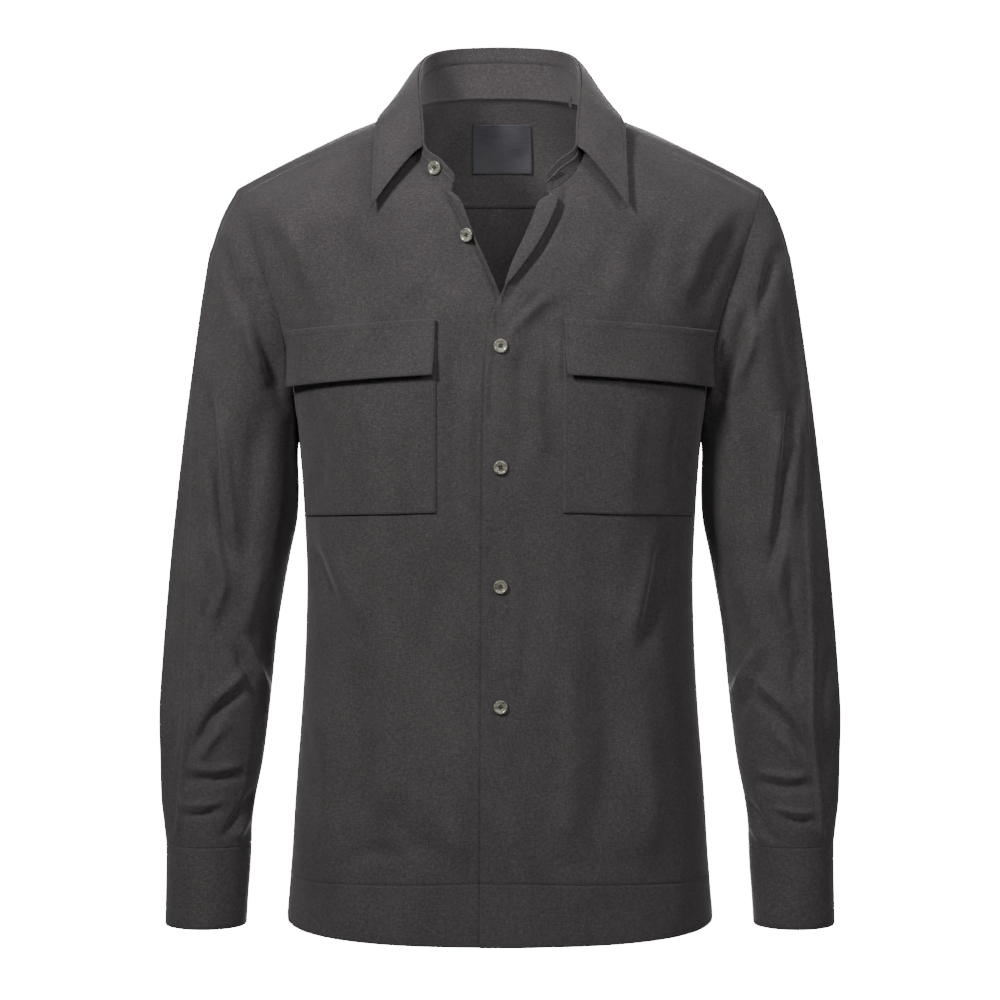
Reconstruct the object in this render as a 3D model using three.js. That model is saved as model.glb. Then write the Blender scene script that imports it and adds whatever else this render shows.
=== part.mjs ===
import * as THREE from 'three';

// Overshirt, worn form, empty inside. Millimetres, +Z up, the front faces -Y.
// The origin is midway between the two shoulder points beside the neck, and +X is the wearer's left.

// Cloth walls and the gaps at seams
const WALL = 1.2;
const DOUBLE_WALL = 2.2;
const LABEL_WALL = 1;
const FLAP_WALL = 1.8;
const SEAM_GAP = 0.3;
const LAY_GAP = 0.4;
const POCKET_GAP = 0.9;
const LABEL_GAP = 1.6;

// Shoulder line, from the neck point down to the sleeve head
const NECK_HALF = 73;
const NECK_POINT_Z = 9.5;
const NECK_HILL_Z = 60;
const SHOULDER_SLOPE = 0.4;
const SHOULDER_BEND = 0.0004;
const SHOULDER_TIP_X = 230;
const ROUNDING_AT_NECK = 90;
const ROUNDING_LOSS = 0.065;
const SQUARENESS = 2.5;

// Heights of the main lines
const HEM_SEAM_Z = -668;
const HEM_SEAM_RISE = 10;
const HEM_CENTRE_Z = -712.5;
const HEM_SIDE_Z = -704;
const HEM_CORNER = 8;
const WAIST_Z = -285;

// Sections of the body: half width, depth in front and depth behind
const BODY = [
  { z: 60, half: 262, front: 50, back: 70 },
  { z: 20, half: 256, front: 64, back: 84 },
  { z: -20, half: 250, front: 86, back: 98 },
  { z: -68, half: 245, front: 106, back: 108 },
  { z: -105, half: 233, front: 118, back: 113 },
  { z: -143, half: 219, front: 126, back: 117 },
  { z: -172, half: 208, front: 131, back: 119 },
  { z: -214, half: 194, front: 135, back: 118 },
  { z: -249, half: 183, front: 136, back: 116 },
  { z: -285, half: 176.5, front: 135, back: 113 },
  { z: -351, half: 172, front: 131, back: 110 },
  { z: -400, half: 170, front: 128, back: 108 },
  { z: -467, half: 171.6, front: 127, back: 108 },
  { z: -530, half: 175.5, front: 128, back: 111 },
  { z: -594, half: 180.5, front: 130, back: 115 },
  { z: -650, half: 184, front: 131, back: 118 },
  { z: -700, half: 188, front: 132, back: 120 },
  { z: -740, half: 190, front: 132, back: 121 },
];

// Armhole line on the front and back: distance from the middle at each height
const ARMHOLE = [
  { z: -60, front: 231, back: 231 },
  { z: -75, front: 226, back: 228 },
  { z: -105, front: 215, back: 221 },
  { z: -143, front: 202, back: 211 },
  { z: -172, front: 192, back: 202 },
  { z: -214, front: 183.5, back: 189 },
  { z: -249, front: 178.5, back: 180 },
  { z: -285, front: 176.5, back: 176.5 },
];

// Neck seam, top of the stand, and lower edge of the collar leaf, from the middle back to the front end
const NECK = [
  { at: 0.00, sx: 0, sy: 76, sz: 20, tx: 0, ty: 80, tz: 63, ex: 0, ey: 99, ez: 16 },
  { at: 0.10, sx: 25, sy: 73, sz: 19.5, tx: 27, ty: 76, tz: 62, ex: 30, ey: 97, ez: 15 },
  { at: 0.20, sx: 46, sy: 62, sz: 17.5, tx: 49, ty: 65, tz: 59.5, ex: 57, ey: 87, ez: 14 },
  { at: 0.30, sx: 61, sy: 43, sz: 15, tx: 64, ty: 46, tz: 54, ex: 79, ey: 66, ez: 12 },
  { at: 0.40, sx: 70, sy: 20, sz: 12, tx: 71, ty: 22, tz: 46, ex: 93, ey: 34, ez: 8 },
  { at: 0.48, sx: 73.5, sy: -3, sz: 9.3, tx: 73, ty: -3, tz: 36, ex: 99, ey: 2, ez: 4.5 },
  { at: 0.57, sx: 75.5, sy: -34, sz: 0, tx: 73, ty: -27, tz: 23, ex: 105, ey: -29, ez: -1.5 },
  { at: 0.67, sx: 75, sy: -61, sz: -18, tx: 71, ty: -53, tz: 5, ex: 108.5, ey: -56, ez: -14 },
  { at: 0.76, sx: 71, sy: -80, sz: -38, tx: 69, ty: -74, tz: -15, ex: 109, ey: -87, ez: -45 },
  { at: 0.85, sx: 63, sy: -93, sz: -54, tx: 67.5, ty: -89, tz: -33, ex: 109.5, ey: -116, ez: -83 },
  { at: 0.93, sx: 52, sy: -101, sz: -64, tx: 52, ty: -101, tz: -45, ex: 0, ey: 0, ez: 0 },
  { at: 1.00, sx: 41, sy: -106, sz: -70, tx: 40, ty: -107.5, tz: -59, ex: 0, ey: 0, ez: 0 },
];
const LEAF_END = 0.85;

// Front edges down the opening: turn line and free edge of each front, and how far the edge stands off
const EDGE = [
  { z: -70, turn: 39, left: 50, leftOff: 5, rightTurn: -49, right: -40, rightOff: 3 },
  { z: -79, turn: 35, left: 48.5, leftOff: 7, rightTurn: -44, right: -33.5, rightOff: 5 },
  { z: -93, turn: 28.5, left: 44, leftOff: 7, rightTurn: -37.5, right: -28, rightOff: 6 },
  { z: -108, turn: 22, left: 36.5, leftOff: 7, rightTurn: -32, right: -22.5, rightOff: 6 },
  { z: -128, turn: 13, left: 23.5, leftOff: 6, rightTurn: -23, right: -14, rightOff: 4 },
  { z: -145, turn: 6.5, left: 10, leftOff: 4, rightTurn: -14, right: -6, rightOff: 1.5 },
  { z: -160, turn: 5, left: -1, leftOff: 2.4, rightTurn: -6, right: 1, rightOff: 0 },
  { z: -182, turn: 4, left: -9, leftOff: 0, rightTurn: 0, right: 10, rightOff: 0 },
  { z: -212, turn: 2, left: -12.5, leftOff: 0, rightTurn: 0, right: 15, rightOff: 0 },
  { z: -320, turn: 0, left: -15, leftOff: 0, rightTurn: 0, right: 16, rightOff: 0 },
  { z: -740, turn: 0, left: -17.5, leftOff: 0, rightTurn: 0, right: 16, rightOff: 0 },
];
const LAPPED_FROM_Z = -159;
const OVERLAP_LIFT = 2.2;
const LIFT_FROM_X = 35;
const LIFT_FULL_X = 20.5;

// Rows of the fronts: height at the middle edge and height on the armhole or side seam
const NECK_ROWS = [0.67, 0.76, 0.85, 0.93, 1];
const FRONT_ROWS = [
  { inner: -18, outer: -75 }, { inner: -38, outer: -89 }, { inner: -54, outer: -103 },
  { inner: -64, outer: -117 }, { inner: -70, outer: -131 }, { inner: -79, outer: -145 },
  { inner: -95, outer: -159 }, { inner: -115, outer: -174 }, { inner: -136, outer: -190 },
  { inner: -158, outer: -207 }, { inner: -182, outer: -225 }, { inner: -212, outer: -244 },
  { inner: -246, outer: -264 }, { inner: WAIST_Z, outer: WAIST_Z },
];
const BACK_ROWS = [
  { inner: -75, outer: -98 }, { inner: -103, outer: -122 }, { inner: -130, outer: -146 },
  { inner: -157, outer: -170 }, { inner: -184, outer: -195 }, { inner: -211, outer: -219 },
  { inner: -236, outer: -241 }, { inner: -261, outer: -263 }, { inner: -285, outer: -285 },
];
const SIDE_LEVELS = [-320, -360, -400, -442, -486, -530, -575, -612, -643, HEM_SEAM_Z];
const FRONT_COLUMNS = 11;
const NEAR_NECK_SHARES = [0, 0.2, 0.45, 0.7];
const BACK_HALF_COLUMNS = 9;
const SHOULDER_STEPS = 5;
const HEM_STEPS = 4;

// Sleeve sections: outer and inner end of each, how far it reaches to the front and the back
const SLEEVE = [
  { ox: 230, oz: -62, ix: 177, iz: -286, front: 62, back: 66, mid: 0, keep: 1 },
  { ox: 244, oz: -88, ix: 178, iz: -294, front: 65, back: 68, mid: 0, keep: 0.8 },
  { ox: 254, oz: -120, ix: 178, iz: -303, front: 66, back: 68, mid: -1, keep: 0.55 },
  { ox: 261, oz: -160, ix: 177.5, iz: -315, front: 65, back: 66, mid: -2, keep: 0.3 },
  { ox: 268, oz: -208, ix: 177, iz: -332, front: 63, back: 64, mid: -4, keep: 0.12 },
  { ox: 275, oz: -260, ix: 178.5, iz: -356, front: 61, back: 61, mid: -6, keep: 0 },
  { ox: 281, oz: -312, ix: 184.5, iz: -385, front: 59, back: 58, mid: -8, keep: 0 },
  { ox: 287, oz: -368, ix: 190, iz: -417, front: 57, back: 55, mid: -10, keep: 0 },
  { ox: 292, oz: -424, ix: 194, iz: -452, front: 54, back: 52, mid: -13, keep: 0 },
  { ox: 296, oz: -475, ix: 199.5, iz: -492, front: 52, back: 50, mid: -17, keep: 0 },
  { ox: 298.5, oz: -522, ix: 203.5, iz: -530, front: 50, back: 48, mid: -21, keep: 0 },
  { ox: 298.5, oz: -563, ix: 208, iz: -565, front: 47, back: 45, mid: -25, keep: 0 },
  { ox: 297, oz: -596, ix: 214, iz: -596, front: 44, back: 43, mid: -29, keep: 0 },
  { ox: 294.5, oz: -618, ix: 217, iz: -618, front: 41, back: 41, mid: -31, keep: 0 },
  { ox: 292.5, oz: -636, ix: 217.5, iz: -636, front: 39, back: 39, mid: -32, keep: 0 },
];
const CUFF = [
  { ox: 292.5, oz: -636.3, ix: 217.5, iz: -636.3, front: 39, back: 39, mid: -32 },
  { ox: 292.5, oz: -657, ix: 218.5, iz: -657, front: 38.5, back: 38.5, mid: -33 },
  { ox: 293, oz: -683, ix: 220.5, iz: -683, front: 38, back: 38, mid: -34 },
  { ox: 293.5, oz: -707.5, ix: 222, iz: -707.5, front: 37.5, back: 37.5, mid: -35 },
];
const CUFF_OVERLAP_STEPS = 3;
const CUFF_START_ANGLE = -1.15;
const CUFF_STEPS = 26;

// Broad folds of the cloth: a middle, its half sizes, the lean and the rise or fall
const FRONT_FOLDS = [
  { x: 40, z: -165, long: 55, across: 9, lean: 0.9, rise: 3 },
  { x: 62, z: -160, long: 52, across: 9, lean: 0.9, rise: -2.6 },
  { x: -60, z: -150, long: 60, across: 10, lean: -1.1, rise: 2.2 },
  { x: 165, z: -150, long: 60, across: 10, lean: -0.25, rise: -2.6 },
  { x: -165, z: -150, long: 60, across: 10, lean: 0.25, rise: -2.6 },
  { x: 120, z: -430, long: 95, across: 17, lean: -0.2, rise: 3 },
  { x: 92, z: -470, long: 120, across: 16, lean: -0.15, rise: -2.6 },
  { x: -118, z: -440, long: 100, across: 17, lean: 0.2, rise: 3 },
  { x: -86, z: -500, long: 110, across: 16, lean: 0.3, rise: -2.6 },
  { x: -45, z: -600, long: 80, across: 16, lean: 0.35, rise: 2.4 },
  { x: 52, z: -610, long: 80, across: 18, lean: -0.2, rise: 2.2 },
];
const BACK_FOLDS = [
  { x: 60, z: -330, long: 120, across: 18, lean: -0.15, rise: 3 },
  { x: -55, z: -350, long: 120, across: 18, lean: 0.2, rise: 3 },
  { x: 20, z: -430, long: 110, across: 18, lean: 0.1, rise: -3 },
  { x: 130, z: -300, long: 90, across: 16, lean: 0.35, rise: -2.6 },
  { x: -130, z: -290, long: 90, across: 16, lean: -0.35, rise: -2.6 },
  { x: -90, z: -560, long: 100, across: 18, lean: 0.1, rise: 2.6 },
  { x: 95, z: -570, long: 100, across: 18, lean: -0.1, rise: 2.6 },
];
const SLEEVE_FOLDS = [
  { x: 0.9, z: -210, long: 110, across: 0.22, lean: 0.0012, rise: -4 },
  { x: 1.35, z: -230, long: 120, across: 0.2, lean: 0.001, rise: 3.2 },
  { x: 1.9, z: -260, long: 100, across: 0.24, lean: 0.001, rise: -3.4 },
  { x: 0.35, z: -420, long: 230, across: 0.12, lean: 0, rise: 2 },
  { x: 2.3, z: -460, long: 30, across: 0.8, lean: 0.03, rise: -3.4 },
  { x: 1.5, z: -505, long: 18, across: 0.8, lean: 0.02, rise: 2.6 },
  { x: 1.3, z: -565, long: 13, across: 0.9, lean: 0.01, rise: -2.8 },
  { x: 1.5, z: -603, long: 12, across: 0.9, lean: 0, rise: -2.4 },
  { x: -1.3, z: -300, long: 110, across: 0.24, lean: -0.001, rise: -3.4 },
  { x: -0.8, z: -260, long: 110, across: 0.2, lean: -0.001, rise: 2.8 },
  { x: -2, z: -450, long: 26, across: 0.8, lean: 0.02, rise: -3.2 },
];

// Pockets and flaps: heights of the corners and distances from the middle
const POCKET = { inner: 54, outerTop: 179, outerBottom: 167.5, top: -196, bottomInner: -342, bottomOuter: -348.5 };
const FLAP = { inner: 54, innerBottom: 56, outerTop: 183, outerBottom: 178, topInner: -178, topOuter: -188 };
const FLAP_DROP = 47;
const POCKET_TOP_SLANT = 9;
const FLAP_FLARE = 5;

// Buttons, label and small strips
const BUTTON_R = 6;
const BUTTON_H = 2.6;
const BUTTON_DISH_R = 3.9;
const BUTTON_DISH = 0.7;
const BUTTON_FACETS = 16;
const BUTTON_HEIGHTS = [-201, -303, -404.5, -507];
const BUTTON_X = 0.5;
const OPEN_BUTTON_Z = -108;
const OPEN_BUTTON_GAP = 0.9;
const STAND_BUTTON = { at: 0.91, level: 0.6, sunk: 0.8 };
const CUFF_BUTTON_TURN = 0.3;
const LABEL = { width: 54, height: 44, middleX: 2, top: -4 };
const PLACKET = { from: -0.9, width: 22, top: -520, bottom: -630 };
const TAB = { at: 0.335, inside: 2.8, width: 4, rise: 5, reach: 11 };

const COLOURS = {
  flannel: '#3f3c3d',
  button: '#8d8a74',
  label: '#3d3c46',
};

// A smooth value between the rows of a table whose key falls or rises steadily
function lookup(table, key, value, column) {
  const rising = table[table.length - 1][key] > table[0][key];
  const sign = rising ? 1 : -1;
  let i = 0;
  while (i < table.length - 2 && sign * value > sign * table[i + 1][key]) i += 1;
  const slopeAt = (k) => {
    const before = table[Math.max(k - 1, 0)];
    const after = table[Math.min(k + 1, table.length - 1)];
    return (after[column] - before[column]) / (after[key] - before[key]);
  };
  const span = table[i + 1][key] - table[i][key];
  const t = THREE.MathUtils.clamp((value - table[i][key]) / span, 0, 1);
  const t2 = t * t;
  const t3 = t2 * t;
  return (2 * t3 - 3 * t2 + 1) * table[i][column] + (t3 - 2 * t2 + t) * span * slopeAt(i)
    + (3 * t2 - 2 * t3) * table[i + 1][column] + (t3 - t2) * span * slopeAt(i + 1);
}

const lerp = THREE.MathUtils.lerp;
const smooth = THREE.MathUtils.smoothstep;

// Height of the shoulder line above a distance from the middle
function ridge(x) {
  const far = Math.abs(x);
  if (far >= NECK_HALF) {
    const out = far - NECK_HALF;
    return NECK_POINT_Z - SHOULDER_SLOPE * out - SHOULDER_BEND * out * out;
  }
  const s = far / NECK_HALF;
  const fall = 2 * s ** 3 - 3 * s ** 2 + 1;
  return NECK_HILL_Z * fall + NECK_POINT_Z * (1 - fall) - SHOULDER_SLOPE * NECK_HALF * (s ** 3 - s ** 2);
}

function rounding(x) {
  return ROUNDING_AT_NECK - ROUNDING_LOSS * Math.abs(x);
}

function section(z) {
  return {
    half: lookup(BODY, 'z', z, 'half'),
    front: lookup(BODY, 'z', z, 'front'),
    back: lookup(BODY, 'z', z, 'back'),
  };
}

// Depth of the worn form at a place, without its folds; side is -1 in front and 1 behind
function depth(x, z, side) {
  const s = section(z);
  const across = Math.max(0, 1 - (Math.abs(x) / s.half) ** SQUARENESS) ** (1 / SQUARENESS);
  const t = (ridge(x) - z) / rounding(x);
  const cap = t >= 1 ? 1 : Math.sqrt(Math.max(0, 1 - (1 - t) ** 2));
  return side * (side < 0 ? s.front : s.back) * across * cap;
}

// Outward direction of the form at a point on it
function normalAt(p) {
  const side = p.y < 0 ? -1 : 1;
  const t = (ridge(p.x) - p.z) / rounding(p.x);
  const nearRidge = t < 0.9;
  const level = (x, y, z) => {
    const s = section(z);
    const reach = side < 0 ? s.front : s.back;
    const a = (Math.abs(x) / s.half) ** SQUARENESS;
    const u = (ridge(x) - z) / rounding(x);
    if (nearRidge) {
      const full = reach * Math.max(0.02, 1 - a) ** (1 / SQUARENESS);
      return (y / full) ** 2 + (1 - u) ** 2;
    }
    return a + (Math.abs(y) / reach) ** SQUARENESS;
  };
  const e = 0.5;
  const n = new THREE.Vector3(
    level(p.x + e, p.y, p.z) - level(p.x - e, p.y, p.z),
    level(p.x, p.y + e, p.z) - level(p.x, p.y - e, p.z),
    level(p.x, p.y, p.z + e) - level(p.x, p.y, p.z - e),
  );
  return n.normalize();
}

function foldHeight(folds, x, z) {
  let sum = 0;
  for (const f of folds) {
    const along = (z - f.z) / f.long;
    const off = (x - f.x - f.lean * (z - f.z)) / f.across;
    sum += f.rise * Math.exp(-along * along - off * off);
  }
  return sum;
}

// Folds fade out where the form turns to the side, at the neck and at the shoulder
function bodyFold(p) {
  const side = p.y < 0 ? FRONT_FOLDS : BACK_FOLDS;
  const fade = smooth(Math.abs(p.y), 20, 60) * smooth(-p.z, 60, 110);
  return fade * foldHeight(side, p.x, p.z);
}

function moved(p, direction, by) {
  return p.clone().addScaledVector(direction, by);
}

// A point on the form, with its folds, moved out by a distance
function skin(x, z, side, out = 0) {
  const p = new THREE.Vector3(x, depth(x, z, side), z);
  return moved(p, normalAt(p), out + bodyFold(p));
}

// Turning angle of a place round the form, used to space points evenly round the side
function turnOf(x, z) {
  const s = Math.min(1, Math.abs(x) / section(z).half);
  return Math.sign(x) * Math.asin(s ** (SQUARENESS / 2));
}

function acrossOf(turn, z) {
  return Math.sign(turn) * section(z).half * Math.abs(Math.sin(turn)) ** (2 / SQUARENESS);
}

// A wall from rows of outer points and outward directions, closed all round
function wall(rows, directions, thickness, round = false) {
  const height = rows.length;
  const width = rows[0].length;
  const count = height * width;
  const spots = [];
  for (const inner of [0, 1]) {
    for (let i = 0; i < height; i += 1) {
      for (let j = 0; j < width; j += 1) {
        const p = moved(rows[i][j], directions[i][j], -inner * thickness);
        spots.push(p.x, p.y, p.z);
      }
    }
  }
  const at = (i, j, inner) => inner * count + i * width + (j % width);
  const faces = [];
  const quad = (a, b, c, d) => faces.push(a, b, c, a, c, d);
  const steps = round ? width : width - 1;
  for (let i = 0; i < height - 1; i += 1) {
    for (let j = 0; j < steps; j += 1) {
      quad(at(i, j, 0), at(i + 1, j, 0), at(i + 1, j + 1, 0), at(i, j + 1, 0));
      quad(at(i, j, 1), at(i, j + 1, 1), at(i + 1, j + 1, 1), at(i + 1, j, 1));
    }
  }
  for (let j = 0; j < steps; j += 1) {
    quad(at(0, j, 0), at(0, j + 1, 0), at(0, j + 1, 1), at(0, j, 1));
    quad(at(height - 1, j, 0), at(height - 1, j, 1), at(height - 1, j + 1, 1), at(height - 1, j + 1, 0));
  }
  if (!round) {
    for (let i = 0; i < height - 1; i += 1) {
      quad(at(i, 0, 0), at(i, 0, 1), at(i + 1, 0, 1), at(i + 1, 0, 0));
      quad(at(i, width - 1, 0), at(i + 1, width - 1, 0), at(i + 1, width - 1, 1), at(i, width - 1, 1));
    }
  }
  return solid(spots, faces);
}

// Geometry with its faces turned outward
function solid(spots, faces) {
  let volume = 0;
  const v = (k) => new THREE.Vector3().fromArray(spots, 3 * k);
  for (let k = 0; k < faces.length; k += 3) {
    volume += v(faces[k]).dot(v(faces[k + 1]).cross(v(faces[k + 2])));
  }
  if (volume < 0) faces.reverse();
  const geometry = new THREE.BufferGeometry();
  geometry.setAttribute('position', new THREE.Float32BufferAttribute(spots, 3));
  geometry.setIndex(faces);
  geometry.computeVertexNormals();
  return geometry;
}

// Outward directions of a grid of points from its own shape
function gridNormals(rows, round, flip) {
  const last = rows.length - 1;
  const width = rows[0].length;
  return rows.map((row, i) => row.map((p, j) => {
    const before = round ? row[(j + width - 1) % width] : row[Math.max(j - 1, 0)];
    const after = round ? row[(j + 1) % width] : row[Math.min(j + 1, width - 1)];
    const down = rows[Math.min(i + 1, last)][j].clone().sub(rows[Math.max(i - 1, 0)][j]);
    return after.clone().sub(before).cross(down).multiplyScalar(flip).normalize();
  }));
}

// Draw the edge rows or columns of a grid in by part of the seam gap
function trimmed(rows, edges) {
  const out = rows.map((row) => row.map((p) => p.clone()));
  const last = rows.length - 1;
  const pull = (target, edge, next, gap) => {
    target.addScaledVector(next.clone().sub(edge).normalize(), gap);
  };
  rows.forEach((row, i) => row.forEach((p, j) => {
    const end = row.length - 1;
    if (edges.top && i === 0) pull(out[i][j], p, rows[1][j], edges.top);
    if (edges.bottom && i === last) pull(out[i][j], p, rows[last - 1][j], edges.bottom);
    if (edges.start && j === 0) pull(out[i][j], p, row[1], edges.start);
    if (edges.end && j === end) pull(out[i][j], p, row[end - 1], edges.end);
  }));
  return out;
}

function neckPoint(at, kind, sign) {
  const x = lookup(NECK, 'at', at, `${kind}x`);
  return new THREE.Vector3(sign * x, lookup(NECK, 'at', at, `${kind}y`), lookup(NECK, 'at', at, `${kind}z`));
}

// Shared direction of the cut edges along the neck seam
function neckDirection(p) {
  return new THREE.Vector3(p.x, p.y, 0).normalize().multiplyScalar(0.8).setZ(0.6).normalize();
}

function armholeX(z, side) {
  return lookup(ARMHOLE, 'z', z, side < 0 ? 'front' : 'back');
}

// A run of points on the form between two places on it, starting a little off it where the neck seam does
function formRun(from, to, steps, side) {
  const turnFrom = turnOf(from.x, from.z);
  const turnTo = turnOf(to.x, to.z);
  const base = new THREE.Vector3(from.x, depth(from.x, from.z, side), from.z);
  const off = from.clone().sub(moved(base, normalAt(base), bodyFold(base)));
  const run = [];
  for (let k = 0; k <= steps; k += 1) {
    const s = k / steps;
    const z = lerp(from.z, to.z, s);
    const x = acrossOf(lerp(turnFrom, turnTo, s), z);
    const p = skin(x, z, side);
    run.push(p.addScaledVector(off, (1 - s) ** 3));
  }
  return run;
}

function directionsOn(rows) {
  return rows.map((row) => row.map((p) => normalAt(p)));
}

// The top cloth of the overlap stands clear of the cloth below it
function overlapLift(x, z) {
  const low = smooth(-z, 150, 182);
  return OVERLAP_LIFT * low * (1 - smooth(x, LIFT_FULL_X, LIFT_FROM_X));
}

// The three outermost points of a front edge: free edge, middle and turn line
function frontEdge(z, isLeft) {
  const at = (column) => lookup(EDGE, 'z', z, column);
  const turnX = at(isLeft ? 'turn' : 'rightTurn');
  const freeX = at(isLeft ? 'left' : 'right');
  const off = at(isLeft ? 'leftOff' : 'rightOff');
  const middleShare = isLeft ? 0.9 : 0.5;
  const turnShare = isLeft ? 0.35 : 0;
  const free = skin(freeX, z, -1, off);
  const middle = skin((freeX + turnX) / 2, z, -1, off * middleShare);
  const turn = skin(turnX, z, -1, off * turnShare);
  return [free, middle, turn];
}

// A row of a front: its edge, a place just past the overlap, and the panel out to its side
function edgeAndPanel(edge, outer, sign) {
  const run = formRun(edge[2], outer, FRONT_COLUMNS, -1);
  const turn = edge[2];
  const past = turn.z < LAPPED_FROM_Z ? skin(sign * LIFT_FULL_X, turn.z, -1) : turn.clone().lerp(run[1], 0.5);
  return [...edge, past, ...run.slice(1)];
}

function frontRows(isLeft) {
  const sign = isLeft ? 1 : -1;
  const rows = FRONT_ROWS.map((row, i) => {
    const outer = new THREE.Vector3(sign * armholeX(row.outer, -1), 0, row.outer);
    if (i < NECK_ROWS.length) {
      const seam = neckPoint(NECK_ROWS[i], 's', sign);
      const next = formRun(seam, outer, FRONT_COLUMNS, -1);
      const nearNeck = NEAR_NECK_SHARES.map((share) => next[0].clone().lerp(next[1], share));
      return [...nearNeck, ...next.slice(1)];
    }
    const edge = frontEdge(row.inner, isLeft);
    return edgeAndPanel(edge, outer, sign);
  });
  for (const z of SIDE_LEVELS) {
    const risen = (HEM_SEAM_RISE * (WAIST_Z - z)) / (WAIST_Z - HEM_SEAM_Z);
    const edge = frontEdge(z + risen, isLeft);
    const outer = new THREE.Vector3(sign * section(z).half, 0, z);
    rows.push(edgeAndPanel(edge, outer, sign));
  }
  return isLeft ? lifted(rows) : rows;
}

function lifted(rows) {
  return rows.map((row) => row.map((p) => (p.y < 0 ? moved(p, normalAt(p), overlapLift(p.x, p.z)) : p)));
}

function front(isLeft) {
  const rows = frontRows(isLeft);
  const directions = directionsOn(rows);
  NECK_ROWS.forEach((at, i) => {
    directions[i][0] = neckDirection(rows[i][0]);
  });
  const cut = trimmed(rows, { top: SEAM_GAP / 2, bottom: SEAM_GAP / 2, end: SEAM_GAP / 2 });
  NECK_ROWS.forEach((at, i) => {
    cut[i][0] = moved(cut[i][0], rows[i][1].clone().sub(rows[i][0]).normalize(), SEAM_GAP / 2);
  });
  return wall(cut, directions, WALL);
}

function backRow(innerZ, outerZ, halfAcross) {
  const row = [];
  const turn = turnOf(halfAcross, outerZ);
  for (let k = -BACK_HALF_COLUMNS; k <= BACK_HALF_COLUMNS; k += 1) {
    const s = k / BACK_HALF_COLUMNS;
    const z = lerp(innerZ, outerZ, s * s);
    row.push(skin(acrossOf(turn * s, z), z, 1));
  }
  return row;
}

function backRows() {
  const rows = BACK_ROWS.map((row) => backRow(row.inner, row.outer, armholeX(row.outer, 1)));
  for (const z of SIDE_LEVELS) rows.push(backRow(z, z, section(z).half));
  return rows;
}

function back() {
  const rows = backRows();
  const gap = SEAM_GAP / 2;
  return wall(trimmed(rows, { top: gap, bottom: gap, start: gap, end: gap }), directionsOn(rows), WALL);
}

// Armhole over the shoulder, from the front yoke seam to the back yoke seam
function shoulderArc(sign) {
  const points = [];
  const frontZ = FRONT_ROWS[0].outer;
  const backZ = BACK_ROWS[0].outer;
  for (let k = 0; k <= SHOULDER_STEPS; k += 1) {
    const s = k / SHOULDER_STEPS;
    if (k === 0) points.push(skin(sign * armholeX(frontZ, -1), frontZ, -1));
    else if (k === SHOULDER_STEPS) points.push(skin(sign * armholeX(backZ, 1), backZ, 1));
    else {
      const low = s < 0.5 ? lerp(frontZ, SLEEVE[0].oz, s * 2) : lerp(SLEEVE[0].oz, backZ, s * 2 - 1);
      const side = s < 0.45 ? -1 : 1;
      const x = sign * Math.min(armholeX(low, side), SHOULDER_TIP_X);
      const z = Math.min(low, ridge(x) - 0.4);
      points.push(skin(x, z, side));
    }
  }
  return points;
}

// Points of the yoke: lines from the neck seam to the armhole and the back yoke seam
function yokeRows() {
  const columns = [];
  const backTop = backRow(BACK_ROWS[0].inner, BACK_ROWS[0].outer, armholeX(BACK_ROWS[0].outer, 1));
  const overShoulder = (sign) => shoulderArc(sign).map((outer, k) => {
    const at = lerp(NECK_ROWS[0], 0.4, k / SHOULDER_STEPS);
    return { neck: neckPoint(at, 's', sign), outer };
  });
  columns.push(...overShoulder(1));
  for (let k = 1; k < 2 * BACK_HALF_COLUMNS; k += 1) {
    const outer = backTop[2 * BACK_HALF_COLUMNS - k];
    const s = 1 - k / BACK_HALF_COLUMNS;
    columns.push({ neck: neckPoint(Math.abs(s) * 0.4, 's', Math.sign(s) || 1), outer });
  }
  columns.push(...overShoulder(-1).reverse());
  return columns;
}

function yokeLine(column, index, total) {
  const steps = FRONT_COLUMNS;
  const { neck, outer } = column;
  if (index === 0 || index === total - 1) return formRun(neck, outer, steps, -1);
  const line = [];
  for (let k = 0; k <= steps; k += 1) {
    const s = k / steps;
    const p = neck.clone().lerp(outer, s);
    const hump = Math.sin(Math.PI * s);
    const steep = Math.abs(p.y) / (Math.abs(p.y) + 40);
    p.y += Math.sign(p.y) * hump * 13 * steep;
    p.z += hump * 7 * (1 - steep);
    line.push(p);
  }
  return line;
}

function yokeLines() {
  const columns = yokeRows();
  return columns.map((column, i) => yokeLine(column, i, columns.length));
}

function yoke() {
  const lines = yokeLines();
  const directions = gridNormals(lines, false, 1);
  if (directions[SHOULDER_STEPS][4].z < 0) directions.forEach((row) => row.forEach((d) => d.negate()));
  lines.forEach((line, i) => {
    const end = line.length - 1;
    directions[i][0] = neckDirection(line[0]);
    directions[i][end] = normalAt(line[end]);
  });
  for (const i of [0, lines.length - 1]) {
    for (let j = 1; j < lines[i].length; j += 1) directions[i][j] = normalAt(lines[i][j]);
  }
  const gap = SEAM_GAP / 2;
  return wall(trimmed(lines, { top: gap, bottom: gap, start: gap, end: gap }), directions, WALL);
}

// Armhole seam as a closed loop: over the shoulder, down the back, and up the front
function armholeLoop(sign) {
  const loop = shoulderArc(sign);
  for (const row of BACK_ROWS.slice(1)) loop.push(skin(sign * armholeX(row.outer, 1), row.outer, 1));
  for (let i = FRONT_ROWS.length - 2; i > 0; i -= 1) {
    const z = FRONT_ROWS[i].outer;
    loop.push(skin(sign * armholeX(z, -1), z, -1));
  }
  return loop;
}

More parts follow.
